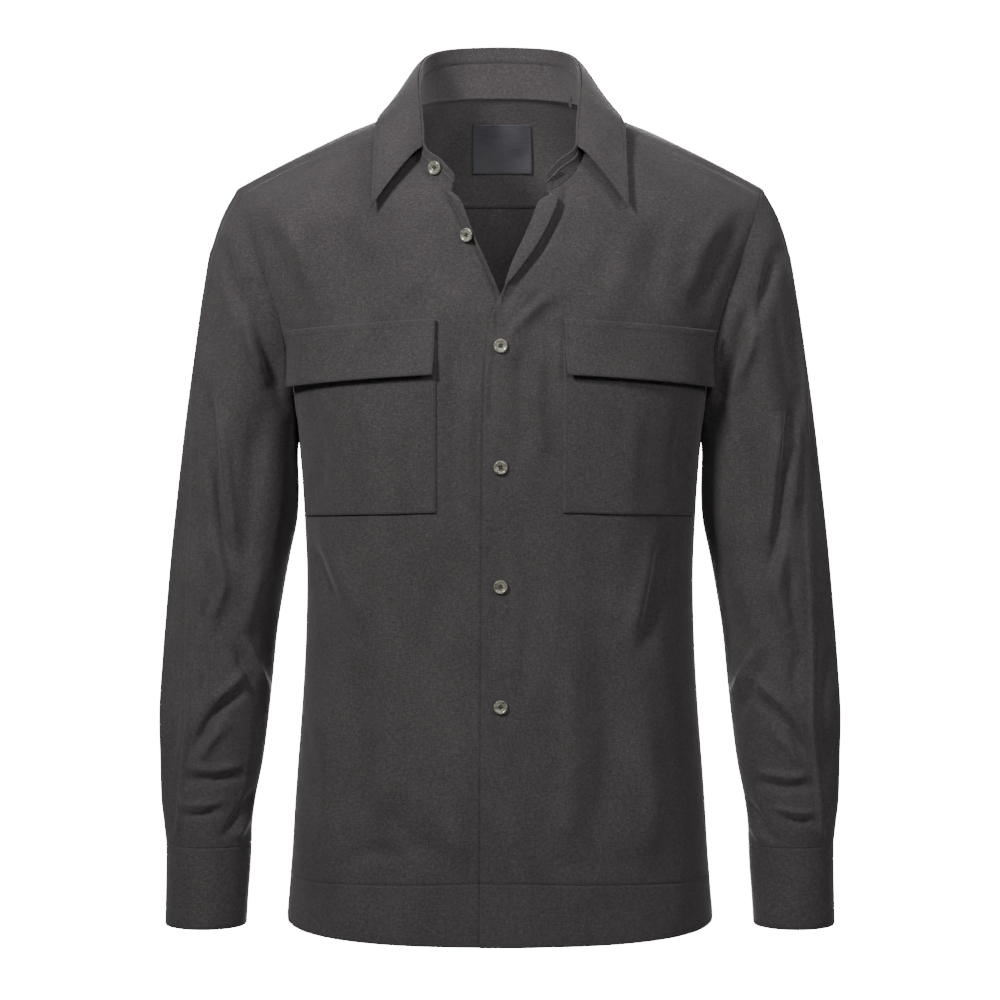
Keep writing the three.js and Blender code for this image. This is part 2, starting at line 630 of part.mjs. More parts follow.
// A place on a sleeve or cuff section, by its angle from the outer side round the front
function sectionPoint(row, angle, sign) {
  const c = Math.cos(angle);
  const s = Math.sin(angle);
  const reach = s > 0 ? row.front : row.back;
  return new THREE.Vector3(
    sign * ((row.ox + row.ix) / 2 + ((row.ox - row.ix) / 2) * c),
    row.mid - reach * s,
    (row.oz + row.iz) / 2 + ((row.oz - row.iz) / 2) * c,
  );
}

function angleOn(row, p, sign) {
  const chord = new THREE.Vector2(row.ox - row.ix, row.oz - row.iz);
  const off = new THREE.Vector2(sign * p.x - (row.ox + row.ix) / 2, p.z - (row.oz + row.iz) / 2);
  const c = (2 * off.dot(chord)) / chord.lengthSq();
  const s = (row.mid - p.y) / (p.y < row.mid ? row.front : row.back);
  return Math.atan2(s, c);
}

function sleeveFold(angle, z) {
  return smooth(-z, 120, 170) * (1 - smooth(-z, 600, 631)) * foldHeight(SLEEVE_FOLDS, angle, z);
}

function sleeveRings(sign) {
  const loop = armholeLoop(sign);
  const angles = loop.map((p) => angleOn(SLEEVE[0], p, sign));
  return SLEEVE.map((row, i) => loop.map((p, k) => {
    const free = sectionPoint(row, angles[k], sign);
    const off = p.clone().sub(sectionPoint(SLEEVE[0], angles[k], sign));
    const place = free.clone().addScaledVector(off, row.keep);
    const middle = sectionPoint(row, 0, sign).lerp(sectionPoint(row, Math.PI, sign), 0.5);
    const away = place.clone().sub(middle).normalize();
    return i === 0 ? place : moved(place, away, sleeveFold(angles[k], place.z));
  }));
}

function sleeve(sign) {
  const rings = sleeveRings(sign);
  const directions = gridNormals(rings, true, 1);
  const centre = rings[6].reduce((sum, p) => sum.add(p), new THREE.Vector3()).divideScalar(rings[6].length);
  if (directions[6][0].dot(rings[6][0].clone().sub(centre)) < 0) {
    directions.forEach((row) => row.forEach((d) => d.negate()));
  }
  const cut = trimmed(rings, { bottom: SEAM_GAP / 2 });
  rings[0].forEach((p, k) => {
    const own = directions[0][k].clone();
    const body = normalAt(p);
    const low = smooth(-p.z, 185, 270);
    directions[0][k] = body.clone().lerp(own, low).normalize();
    const along = rings[1][k].clone().sub(p).normalize();
    cut[0][k] = p.clone().addScaledVector(along, 2 * SEAM_GAP).addScaledVector(body, low * 2 * SEAM_GAP);
  });
  return wall(cut, directions, WALL, true);
}

// The cuff goes once round and laps over itself behind
function cuff(sign) {
  const steps = CUFF_STEPS + CUFF_OVERLAP_STEPS;
  const rows = CUFF.map((row) => {
    const points = [];
    for (let k = 0; k <= steps; k += 1) {
      const angle = CUFF_START_ANGLE + (2 * Math.PI * k) / CUFF_STEPS;
      const p = sectionPoint(row, angle, sign);
      const middle = sectionPoint(row, 0, sign).lerp(sectionPoint(row, Math.PI, sign), 0.5);
      const lap = (DOUBLE_WALL + 2 * LAY_GAP) * smooth(k, CUFF_STEPS - 4, CUFF_STEPS);
      points.push(moved(p, p.clone().sub(middle).normalize(), lap));
    }
    return points;
  });
  return wall(trimmed(rows, { top: SEAM_GAP / 2 }), tubeDirections(rows, CUFF, sign), DOUBLE_WALL);
}

function tubeDirections(rows, table, sign) {
  return rows.map((row, i) => row.map((p) => {
    const t = table[i];
    const middle = sectionPoint(t, 0, sign).lerp(sectionPoint(t, Math.PI, sign), 0.5);
    return p.clone().sub(middle).setZ(0).normalize();
  }));
}

// A strip over the slit above the cuff, laid on the sleeve
function sleevePlacket(sign) {
  const rows = [];
  const directions = [];
  const levels = 5;
  for (let i = 0; i <= levels; i += 1) {
    const z = lerp(PLACKET.top, PLACKET.bottom, i / levels);
    const row = {};
    for (const key of ['ox', 'ix', 'front', 'back', 'mid']) row[key] = lookup(SLEEVE, 'oz', z, key);
    row.oz = z;
    row.iz = z;
    const middle = sectionPoint(row, 0, sign).lerp(sectionPoint(row, Math.PI, sign), 0.5);
    const half = PLACKET.width / 2 / row.back;
    const line = [-half, 0, half].map((d) => {
      const p = sectionPoint(row, PLACKET.from + d, sign);
      const away = p.clone().sub(middle).normalize();
      return moved(p, away, WALL + 2 * LAY_GAP + sleeveFold(PLACKET.from + d, z));
    });
    rows.push(line);
    directions.push(line.map((p) => p.clone().sub(middle).setZ(0).normalize()));
  }
  return wall(rows, directions, WALL);
}

// Stations of the neck seam all round, the same ones as on the fronts and the yoke
function neckStations() {
  const half = [];
  for (let k = 0; k <= BACK_HALF_COLUMNS; k += 1) half.push((0.4 * k) / BACK_HALF_COLUMNS);
  for (let k = 1; k <= SHOULDER_STEPS; k += 1) half.push(lerp(0.4, NECK_ROWS[0], k / SHOULDER_STEPS));
  half.push(...NECK_ROWS.slice(1));
  const left = half.slice(1).reverse().map((at) => ({ at, sign: 1 }));
  return [...left, ...half.map((at) => ({ at, sign: -1 }))];
}

function collarStand() {
  const stations = neckStations();
  const levels = [0, 0.3, 0.65, 0.96];
  const rows = levels.map((level) => stations.map(({ at, sign }) => {
    const low = neckPoint(at, 's', sign);
    const high = neckPoint(at, 't', sign);
    const p = low.clone().lerp(high, level);
    const away = new THREE.Vector3(p.x, p.y, 0).normalize();
    return moved(p, away, -1.6 * smooth(level, 0, 0.5));
  }));
  const directions = rows.map((row, i) => row.map((p, j) => {
    if (i === 0) return neckDirection(p);
    const up = rows[i][j].clone().sub(rows[i - 1][j]).normalize();
    const away = new THREE.Vector3(p.x, p.y, 0).normalize();
    return away.addScaledVector(up, -away.dot(up)).normalize();
  }));
  return wall(trimmed(rows, { top: SEAM_GAP / 2 }), directions, DOUBLE_WALL);
}

// The leaf turns over the top of the stand and falls to its outer edge
function leafRows() {
  const stations = neckStations().filter((s) => s.at <= LEAF_END + 0.001);
  const levels = [0, 0.12, 0.34, 0.67, 1];
  return levels.map((level) => stations.map(({ at, sign }) => {
    const top = neckPoint(at, 't', sign);
    const edge = neckPoint(at, 'e', sign);
    const away = edge.clone().sub(top).setZ(0).normalize();
    const start = top.clone().add(new THREE.Vector3(0, 0, 2.4)).addScaledVector(away, -1.6);
    const p = start.lerp(edge, level);
    const belly = 4 * level ** 0.5 * (1 - level) * 2;
    return moved(p, away, belly).add(new THREE.Vector3(0, 0, belly * 0.35));
  }));
}

function collarLeaf() {
  const rows = leafRows();
  const directions = gridNormals(rows, false, 1);
  const middle = Math.floor(rows[0].length / 2);
  if (directions[2][middle].y < 0) directions.forEach((row) => row.forEach((d) => d.negate()));
  return wall(rows, directions, WALL + 0.6);
}

// A patch laid on a front, worked out from that front's own points moved out
function patch(sign, corners, out, thickness, levels, columns, flare = 0) {
  const rows = [];
  for (let i = 0; i <= levels; i += 1) {
    const v = i / levels;
    const row = [];
    for (let j = 0; j <= columns; j += 1) {
      const u = j / columns;
      const z = lerp(lerp(corners.topInner, corners.topOuter, u), lerp(corners.lowInner, corners.lowOuter, u), v);
      const inner = lerp(corners.innerTop, corners.innerLow, v);
      const outer = lerp(corners.outerTop, corners.outerLow, v);
      const turn = lerp(turnOf(inner, z), turnOf(outer, z), u);
      row.push(skin(sign * acrossOf(turn, z), z, -1, out + thickness + flare * v * v));
    }
    rows.push(row);
  }
  return wall(rows, directionsOn(rows), thickness);
}

function pocket(sign) {
  const corners = {
    topInner: POCKET.top, topOuter: POCKET.top - POCKET_TOP_SLANT, lowInner: POCKET.bottomInner, lowOuter: POCKET.bottomOuter,
    innerTop: POCKET.inner, innerLow: POCKET.inner, outerTop: POCKET.outerTop, outerLow: POCKET.outerBottom,
  };
  return patch(sign, corners, POCKET_GAP, WALL, 7, 9);
}

function pocketFlap(sign) {
  const corners = {
    topInner: FLAP.topInner, topOuter: FLAP.topOuter,
    lowInner: FLAP.topInner - FLAP_DROP, lowOuter: FLAP.topOuter - FLAP_DROP,
    innerTop: FLAP.inner, innerLow: FLAP.innerBottom, outerTop: FLAP.outerTop, outerLow: FLAP.outerBottom,
  };
  return patch(sign, corners, POCKET_GAP + LAY_GAP + WALL, FLAP_WALL, 4, 9, FLAP_FLARE);
}

// Lower edge of the hem: level across the middle, cut higher and rounded at the side seams
function hemBottom(turn) {
  const s = Math.abs(turn) / (Math.PI / 2);
  return lerp(HEM_CENTRE_Z, HEM_SIDE_Z, s ** 2) + HEM_CORNER * smooth(s, 0.86, 1) ** 2;
}

function hemRows(lineAt) {
  const rows = [];
  for (let i = 0; i <= HEM_STEPS; i += 1) rows.push(lineAt(i / HEM_STEPS));
  return rows;
}

function hemBandFront(isLeft) {
  const top = frontRows(isLeft).pop();
  const rows = hemRows((v) => top.map((p, j) => {
    if (v === 0) return p.clone();
    const turn = j === top.length - 1 ? (isLeft ? 1 : -1) * (Math.PI / 2) : turnOf(p.x, HEM_SEAM_Z);
    const z = lerp(p.z, hemBottom(turn), v);
    const q = skin(acrossOf(turn, z), z, -1);
    return isLeft ? moved(q, normalAt(q), overlapLift(q.x, q.z)) : q;
  }));
  const gap = SEAM_GAP / 2;
  return wall(trimmed(rows, { top: gap, end: gap }), directionsOn(rows), WALL);
}

function hemBandBack() {
  const top = backRows().pop();
  const rows = hemRows((v) => top.map((p, j) => {
    if (v === 0) return p.clone();
    const turn = ((j - BACK_HALF_COLUMNS) / BACK_HALF_COLUMNS) * (Math.PI / 2);
    const z = lerp(HEM_SEAM_Z, hemBottom(turn), v);
    return skin(acrossOf(turn, z), z, 1);
  }));
  const gap = SEAM_GAP / 2;
  return wall(trimmed(rows, { top: gap, start: gap, end: gap }), directionsOn(rows), WALL);
}

// A button with a rim and a dished face, standing off the cloth along a direction
function button(place, direction) {
  const profile = [
    [0, 0], [BUTTON_R - 0.6, 0], [BUTTON_R, 0.7], [BUTTON_R, BUTTON_H - 0.6], [BUTTON_R - 0.6, BUTTON_H],
    [BUTTON_DISH_R + 0.3, BUTTON_H], [BUTTON_DISH_R - 0.3, BUTTON_H - BUTTON_DISH], [0, BUTTON_H - BUTTON_DISH],
  ].map(([r, h]) => new THREE.Vector2(r, h));
  const geometry = new THREE.LatheGeometry(profile, BUTTON_FACETS);
  geometry.applyQuaternion(new THREE.Quaternion().setFromUnitVectors(new THREE.Vector3(0, 1, 0), direction));
  geometry.translate(place.x, place.y, place.z);
  return geometry;
}

function frontButton(z) {
  const base = skin(BUTTON_X, z, -1);
  const direction = normalAt(base);
  return button(moved(base, direction, OVERLAP_LIFT + (z === BUTTON_HEIGHTS[0] ? -LAY_GAP : LAY_GAP)), direction);
}

// The button on the turned-out strip of the right front faces partly sideways
function openButton() {
  const [free, middle, turn] = frontEdge(OPEN_BUTTON_Z, false);
  const along = free.clone().sub(turn).normalize();
  const direction = new THREE.Vector3(0, 0, 1).cross(along).normalize();
  if (direction.y > 0) direction.negate();
  return button(moved(middle, direction, OPEN_BUTTON_GAP), direction);
}

function standButton() {
  const low = neckPoint(STAND_BUTTON.at, 's', -1);
  const high = neckPoint(STAND_BUTTON.at, 't', -1);
  const base = low.lerp(high, STAND_BUTTON.level);
  const direction = new THREE.Vector3(base.x, base.y, 0).normalize();
  return button(moved(base, direction, -STAND_BUTTON.sunk), direction);
}

function cuffButton(sign) {
  const angle = CUFF_START_ANGLE + CUFF_BUTTON_TURN;
  const row = CUFF[2];
  const base = sectionPoint(row, angle, sign);
  const middle = sectionPoint(row, 0, sign).lerp(sectionPoint(row, Math.PI, sign), 0.5);
  const direction = base.clone().sub(middle).setZ(0).normalize();
  return button(moved(base, direction, DOUBLE_WALL + 3 * LAY_GAP), direction);
}

// Blank label inside the yoke, laid on its inner face
function neckLabel() {
  const rows = [];
  const directions = [];
  for (let i = 0; i <= 3; i += 1) {
    const z = LABEL.top - (LABEL.height * i) / 3;
    const row = [];
    for (let j = 0; j <= 4; j += 1) {
      const x = LABEL.middleX + LABEL.width * (j / 4 - 0.5);
      row.push(new THREE.Vector3(x, yokeInsideY(x, z) - LABEL_GAP, z));
    }
    rows.push(row);
    directions.push(row.map(() => new THREE.Vector3(0, 1, 0)));
  }
  return wall(rows, directions, LABEL_WALL);
}

// Inner face of the back yoke, from the lines that make it
function yokeInsideY(x, z) {
  let best = 0;
  let nearest = Infinity;
  const lines = yokeLines().slice(SHOULDER_STEPS, -SHOULDER_STEPS);
  for (const line of lines) {
    for (let k = 0; k < line.length - 1; k += 1) {
      const [a, b] = [line[k], line[k + 1]];
      for (let m = 0; m <= 4; m += 1) {
        const p = a.clone().lerp(b, m / 4);
        const far = Math.hypot(p.x - x, p.z - z);
        if (far < nearest) {
          nearest = far;
          best = p.y;
        }
      }
    }
  }
  return best - WALL - 1;
}

// A short folded tab that stands out of the neck seam inside
function neckTab() {
  const seam = neckPoint(TAB.at, 's', 1);
  const away = new THREE.Vector3(seam.x, seam.y, 0).normalize();
  const along = new THREE.Vector3(-away.y, away.x, 0);
  const rows = [0, 1].map((i) => [0, 1].map((j) => {
    const p = moved(seam, away, -TAB.inside).addScaledVector(along, (j - 0.5) * TAB.width);
    return p.setZ(seam.z + TAB.rise - i * TAB.reach);
  }));
  return wall(rows, rows.map((row) => row.map(() => away)), LABEL_WALL);
}

const overshirt = new THREE.Group();

function add(name, geometry, colour, roughness = 0.95) {
  const material = new THREE.MeshStandardMaterial({ color: COLOURS[colour], roughness, metalness: 0 });
  const mesh = new THREE.Mesh(geometry, material);
  mesh.name = name;
  overshirt.add(mesh);
}

add('front_left', front(true), 'flannel');
add('front_right', front(false), 'flannel');
add('back', back(), 'flannel');
add('yoke', yoke(), 'flannel');
for (const [side, sign] of [['left', 1], ['right', -1]]) {
  add(`sleeve_${side}`, sleeve(sign), 'flannel');
  add(`sleeve_placket_${side}`, sleevePlacket(sign), 'flannel');
  add(`cuff_${side}`, cuff(sign), 'flannel');
  add(`pocket_${side}`, pocket(sign), 'flannel');
  add(`pocket_flap_${side}`, pocketFlap(sign), 'flannel');
  add(`hem_band_${side}`, hemBandFront(sign > 0), 'flannel');
  add(`button_cuff_${side}`, cuffButton(sign), 'button', 0.35);
}
add('hem_band_back', hemBandBack(), 'flannel');
add('collar_stand', collarStand(), 'flannel');
add('collar_leaf', collarLeaf(), 'flannel');
add('button_stand', standButton(), 'button', 0.35);
add('button_open', openButton(), 'button', 0.35);
BUTTON_HEIGHTS.forEach((z, i) => add(`button_front_${i + 1}`, frontButton(z), 'button', 0.35));
add('neck_label', neckLabel(), 'label', 0.5);
add('neck_tab', neckTab(), 'label', 0.5);

export default overshirt;
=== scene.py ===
import math

import bpy
import numpy as np
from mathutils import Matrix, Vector


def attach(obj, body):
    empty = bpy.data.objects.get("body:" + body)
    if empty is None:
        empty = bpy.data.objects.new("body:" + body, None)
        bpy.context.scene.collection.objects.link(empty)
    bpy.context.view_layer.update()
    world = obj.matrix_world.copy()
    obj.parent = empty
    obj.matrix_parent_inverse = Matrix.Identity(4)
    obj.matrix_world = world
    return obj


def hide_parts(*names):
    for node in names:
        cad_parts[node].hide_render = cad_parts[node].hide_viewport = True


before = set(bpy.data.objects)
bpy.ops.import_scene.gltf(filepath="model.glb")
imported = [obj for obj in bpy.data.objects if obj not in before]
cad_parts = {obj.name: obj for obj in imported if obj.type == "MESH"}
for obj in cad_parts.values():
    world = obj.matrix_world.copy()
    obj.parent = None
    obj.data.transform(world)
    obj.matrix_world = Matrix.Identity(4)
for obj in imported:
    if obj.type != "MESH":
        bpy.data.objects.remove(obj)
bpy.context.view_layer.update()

# Lengths are in millimetres in the part's frame, and become metres when a mesh is made
MM = 0.001

# Cloth and the shoulder line
WALL = 1.2
DOUBLE_WALL = 2.2
FLAP_WALL = 1.8
LEAF_WALL = 1.8
LABEL_WALL = 0.8
HEM_WALL = 1.8
LAY_GAP = 0.4
POCKET_GAP = 0.6
NECK_HALF = 73
NECK_POINT_Z = 9.5
NECK_HILL_Z = 60
SHOULDER_SLOPE = 0.4
SHOULDER_BEND = 0.0004
SHOULDER_TIP_X = 230
ROUNDING_AT_NECK = 90
ROUNDING_LOSS = 0.065
SQUARENESS = 2.5
HEM_SEAM_Z = -668
HEM_SEAM_RISE = 10
HEM_CENTRE_Z = -712.5
HEM_SIDE_Z = -704
HEM_CORNER = 8
WAIST_Z = -285
LEAF_END = 0.85
OVERLAP_LIFT = 2.2
LIFT_FROM_X = 35
LIFT_FULL_X = 20.5
FRONT_COLUMNS = 11
NEAR_NECK_SHARES = (0, 0.2, 0.45, 0.7)
BACK_HALF_COLUMNS = 9
SHOULDER_STEPS = 5
HEM_STEPS = 4
FINE = 7


def table(names, *rows):
    return [dict(zip(names.split(), row)) for row in rows]


# Sections of the body
BODY = table(
    "z half front back",
    (60, 262, 50, 70), (20, 256, 64, 84), (-20, 250, 86, 98), (-68, 245, 106, 108),
    (-105, 233, 118, 113), (-143, 219, 126, 117), (-172, 208, 131, 119), (-214, 194, 135, 118),
    (-249, 183, 136, 116), (-285, 176.5, 135, 113), (-351, 172, 131, 110), (-400, 170, 128, 108),
    (-467, 171.6, 127, 108), (-530, 175.5, 128, 111), (-594, 180.5, 130, 115), (-650, 184, 131, 118),
    (-700, 188, 132, 120), (-740, 190, 132, 121),
)

# Armhole line in front and behind
ARMHOLE = table(
    "z front back",
    (-60, 231, 231), (-75, 226, 228), (-105, 215, 221), (-143, 202, 211), (-172, 192, 202),
    (-214, 183.5, 189), (-249, 178.5, 180), (-285, 176.5, 176.5),
)

# Neck seam (s), top of the stand (t) and outer edge of the leaf (e), from the middle back forward
NECK = table(
    "at sx sy sz tx ty tz ex ey ez",
    (0.00, 0, 76, 20, 0, 80, 63, 0, 99, 16), (0.10, 25, 73, 19.5, 27, 76, 62, 30, 97, 15),
    (0.20, 46, 62, 17.5, 49, 65, 59.5, 57, 87, 14), (0.30, 61, 43, 15, 64, 46, 54, 79, 66, 12),
    (0.40, 70, 20, 12, 71, 22, 46, 93, 34, 8), (0.48, 73.5, -3, 9.3, 73, -3, 36, 99, 2, 4.5),
    (0.57, 75.5, -34, 0, 73, -27, 23, 105, -29, -1.5), (0.67, 75, -61, -18, 71, -53, 5, 108.5, -56, -14),
    (0.76, 71, -80, -38, 69, -74, -15, 109, -87, -45), (0.85, 63, -93, -54, 67.5, -89, -33, 109.5, -116, -83),
    (0.93, 52, -101, -64, 52, -101, -45, 0, 0, 0), (1.00, 41, -106, -70, 40, -107.5, -59, 0, 0, 0),
)

# Front edges down the opening: turn line, free edge and how far it stands off, on the left and right front
EDGE = table(
    "z turn left leftOff rightTurn right rightOff",
    (-70, 39, 50, 5, -49, -40, 3), (-79, 35, 48.5, 7, -44, -33.5, 5), (-93, 28.5, 44, 7, -37.5, -28, 6),
    (-108, 22, 36.5, 7, -32, -22.5, 6), (-128, 13, 23.5, 6, -23, -14, 4), (-145, 6.5, 10, 4, -14, -6, 1.5),
    (-160, 5, -1, 2.4, -6, 1, 0), (-182, 4, -9, 0, 0, 10, 0), (-212, 2, -12.5, 0, 0, 15, 0),
    (-320, 0, -15, 0, 0, 16, 0), (-740, 0, -17.5, 0, 0, 16, 0),
)
LAPPED_FROM_Z = -159
NECK_ROWS = (0.67, 0.76, 0.85, 0.93, 1)
FRONT_ROWS = table(
    "inner outer",
    (-18, -75), (-38, -89), (-54, -103), (-64, -117), (-70, -131), (-79, -145), (-95, -159),
    (-115, -174), (-136, -190), (-158, -207), (-182, -225), (-212, -244), (-246, -264), (-285, -285),
)
BACK_ROWS = table(
    "inner outer",
    (-75, -98), (-103, -122), (-130, -146), (-157, -170), (-184, -195), (-211, -219), (-236, -241),
    (-261, -263), (-285, -285),
)
SIDE_LEVELS = (-320, -360, -400, -442, -486, -530, -575, -612, -643, HEM_SEAM_Z)

# Sleeve and cuff sections: outer and inner end, reach to the front and back, middle
SLEEVE = table(
    "ox oz ix iz front back mid keep",
    (230, -62, 177, -286, 62, 66, 0, 1), (244, -88, 178, -294, 65, 68, 0, 0.8),
    (254, -120, 178, -303, 66, 68, -1, 0.55), (261, -160, 177.5, -315, 65, 66, -2, 0.3),
    (268, -208, 177, -332, 63, 64, -4, 0.12), (275, -260, 178.5, -356, 61, 61, -6, 0),
    (281, -312, 184.5, -385, 59, 58, -8, 0), (287, -368, 190, -417, 57, 55, -10, 0),
    (292, -424, 194, -452, 54, 52, -13, 0), (296, -475, 199.5, -492, 52, 50, -17, 0),
    (298.5, -522, 203.5, -530, 50, 48, -21, 0), (298.5, -563, 208, -565, 47, 45, -25, 0),
    (297, -596, 214, -596, 44, 43, -29, 0), (294.5, -618, 217, -618, 41, 41, -31, 0),
    (292.5, -636, 217.5, -636, 39, 39, -32, 0),
)
CUFF = table(
    "ox oz ix iz front back mid",
    (292.5, -636.3, 217.5, -636.3, 39, 39, -32), (292.5, -657, 218.5, -657, 38.5, 38.5, -33),
    (293, -683, 220.5, -683, 38, 38, -34), (293.5, -707.5, 222, -707.5, 37.5, 37.5, -35),
)
SLEEVE_MIDDLE_X = 245
SLEEVE_FORWARD = 15
CUFF_OVERLAP_STEPS = 3
CUFF_START_ANGLE = -1.15
CUFF_STEPS = 26

# Broad folds, as in the solids
FOLD_NAMES = "x z long across lean rise"
FRONT_FOLDS = table(
    FOLD_NAMES,
    (40, -165, 55, 9, 0.9, 3), (62, -160, 52, 9, 0.9, -2.6), (-60, -150, 60, 10, -1.1, 2.2),
    (165, -150, 60, 10, -0.25, -2.6), (-165, -150, 60, 10, 0.25, -2.6), (120, -430, 95, 17, -0.2, 3),
    (92, -470, 120, 16, -0.15, -2.6), (-118, -440, 100, 17, 0.2, 3), (-86, -500, 110, 16, 0.3, -2.6),
    (-45, -600, 80, 16, 0.35, 2.4), (52, -610, 80, 18, -0.2, 2.2),
)
BACK_FOLDS = table(
    FOLD_NAMES,
    (60, -330, 120, 18, -0.15, 3), (-55, -350, 120, 18, 0.2, 3), (20, -430, 110, 18, 0.1, -3),
    (130, -300, 90, 16, 0.35, -2.6), (-130, -290, 90, 16, -0.35, -2.6), (-90, -560, 100, 18, 0.1, 2.6),
    (95, -570, 100, 18, -0.1, 2.6),
)
SLEEVE_FOLDS = table(
    FOLD_NAMES,
    (0.9, -210, 110, 0.22, 0.0012, -4), (1.35, -230, 120, 0.2, 0.001, 3.2),
    (1.9, -260, 100, 0.24, 0.001, -3.4),
    (0.35, -420, 230, 0.12, 0, 2), (2.3, -460, 30, 0.8, 0.03, -3.4), (1.5, -505, 18, 0.8, 0.02, 2.6),
    (1.3, -565, 13, 0.9, 0.01, -2.8), (1.5, -603, 12, 0.9, 0, -2.4), (-1.3, -300, 110, 0.24, -0.001, -3.4),
    (-0.8, -260, 110, 0.2, -0.001, 2.8), (-2, -450, 26, 0.8, 0.02, -3.2),
)

# The photograph's view: level with the chest, tipped down a little
CAMERA_AWAY = 3200
CAMERA_Z = -170
CAMERA_DOWN = math.radians(3.0)
PICTURE = 1000
MM_PER_PIXEL = 0.88
FOCAL = CAMERA_AWAY / MM_PER_PIXEL

# Creases placed one by one: a run of places in that view, in pixels, then half width and rise
FRONT_STROKES = (
    (((500, 335), (520, 311), (541, 291)), 3, -1.2), (((508, 334), (530, 311), (552, 294)), 3.2, 1.1),
    (((520, 337), (545, 314), (566, 300)), 4.5, -0.8), (((496, 312), (497, 326), (500, 337)), 2.6, -1.1),
    (((495, 352), (492, 376), (491, 420)), 3.2, -0.9), (((305, 538), (314, 559), (335, 612)), 8, -3),
    (((327, 545), (336, 565), (352, 606)), 8, 2), (((673, 535), (662, 559), (645, 650)), 8, -3),
    (((651, 548), (642, 590), (630, 640)), 8, 2.1), (((404, 818), (422, 847), (441, 872)), 13, -2.6),
    (((440, 812), (458, 845), (466, 872)), 11, 1.6), (((522, 345), (519, 400), (524, 452)), 7, -1.5),
    (((541, 340), (537, 400), (543, 462)), 7, 1.4), (((456, 335), (452, 420), (458, 500)), 8, -1.4),
    (((472, 380), (468, 440), (470, 520)), 6, 1.0), (((332, 205), (345, 255), (350, 308)), 13, -1.8),
    (((366, 215), (380, 262), (384, 312)), 12, 1.4), (((668, 205), (656, 255), (650, 308)), 13, -1.6),
    (((632, 218), (622, 262), (616, 312)), 12, 1.6), (((262, 222), (283, 268), (298, 306)), 8, -2.2),
    (((280, 215), (302, 258), (318, 300)), 8, 1.6), (((740, 222), (718, 266), (702, 304)), 8, -2.2),
    (((722, 214), (698, 256), (684, 298)), 8, 1.5), (((362, 640), (354, 735), (366, 842)), 15, -2.6),
    (((398, 632), (392, 735), (384, 830)), 13, 2.0), (((601, 636), (611, 735), (600, 850)), 15, -2.6),
    (((566, 655), (574, 755), (566, 850)), 12, 1.8), (((641, 690), (652, 800), (648, 860)), 12, 1.7),
    (((312, 690), (330, 770), (326, 850)), 12, 1.8), (((440, 560), (430, 650), (446, 740)), 12, -1.6),
    (((524, 500), (530, 600), (522, 700)), 9, -1.3), (((552, 520), (556, 610), (548, 690)), 10, 1.1),
    (((309, 402), (322, 450), (318, 500)), 7, -1.5), (((690, 402), (680, 450), (684, 500)), 7, -1.5),
    (((360, 400), (372, 450), (368, 505)), 9, 0.9), (((640, 405), (630, 455), (634, 505)), 9, 0.9),
    (((340, 866), (372, 852), (404, 858)), 8, -1.2), (((560, 862), (600, 872), (640, 860)), 8, -1.2),
)
CREASE_DEPTH = 2.0
CREASE_END = 0.35
# How much lower, in pixels, and how much weaker the left sleeve's creases are
LEFT_DROP = 7
LEFT_SHARE = 0.92
# How far sewn edges go on and under, how much free edges roll and how creases fade at seams
UNDER_SEAM = (1.6, 1.3)
EDGE_ROLL = 0.32
FADE_STEPS = 10
# The strips beside the opening: a fold line behind the lifted edge
EDGE_STROKES = (
    (((441, 186), (455, 210), (463, 226), (482, 262), (498, 300)), 2.4, -1.9),
    (((566, 190), (560, 216), (541, 252), (521, 278), (506, 302)), 2.8, -1.7),
)
BACK_STROKES = (
    (((502, 255), (497, 400), (506, 560)), 18, -3), (((430, 262), (438, 380), (428, 520)), 16, 2.5),
    (((586, 262), (576, 390), (588, 540)), 16, 2.6), (((300, 330), (350, 400), (402, 440)), 10, -2.6),
    (((310, 300), (362, 372), (412, 408)), 10, 2.0), (((700, 334), (648, 402), (600, 446)), 10, -2.6),
    (((690, 302), (640, 374), (592, 412)), 10, 2.0), (((378, 560), (500, 577), (622, 562)), 9, -2.0),
    (((392, 540), (500, 553), (610, 540)), 9, 1.6), (((362, 640), (352, 740), (356, 840)), 13, -2.6),
    (((398, 640), (392, 740), (396, 850)), 12, 1.9), (((640, 650), (650, 750), (642, 850)), 13, -2.5),
    (((606, 640), (612, 745), (604, 850)), 12, 1.8), (((470, 650), (462, 750), (472, 850)), 12, -1.9),
    (((536, 660), (540, 760), (532, 850)), 12, 1.8), (((330, 440), (352, 500), (348, 560)), 10, 2.0),
    (((672, 440), (650, 500), (654, 560)), 10, 1.9),
)
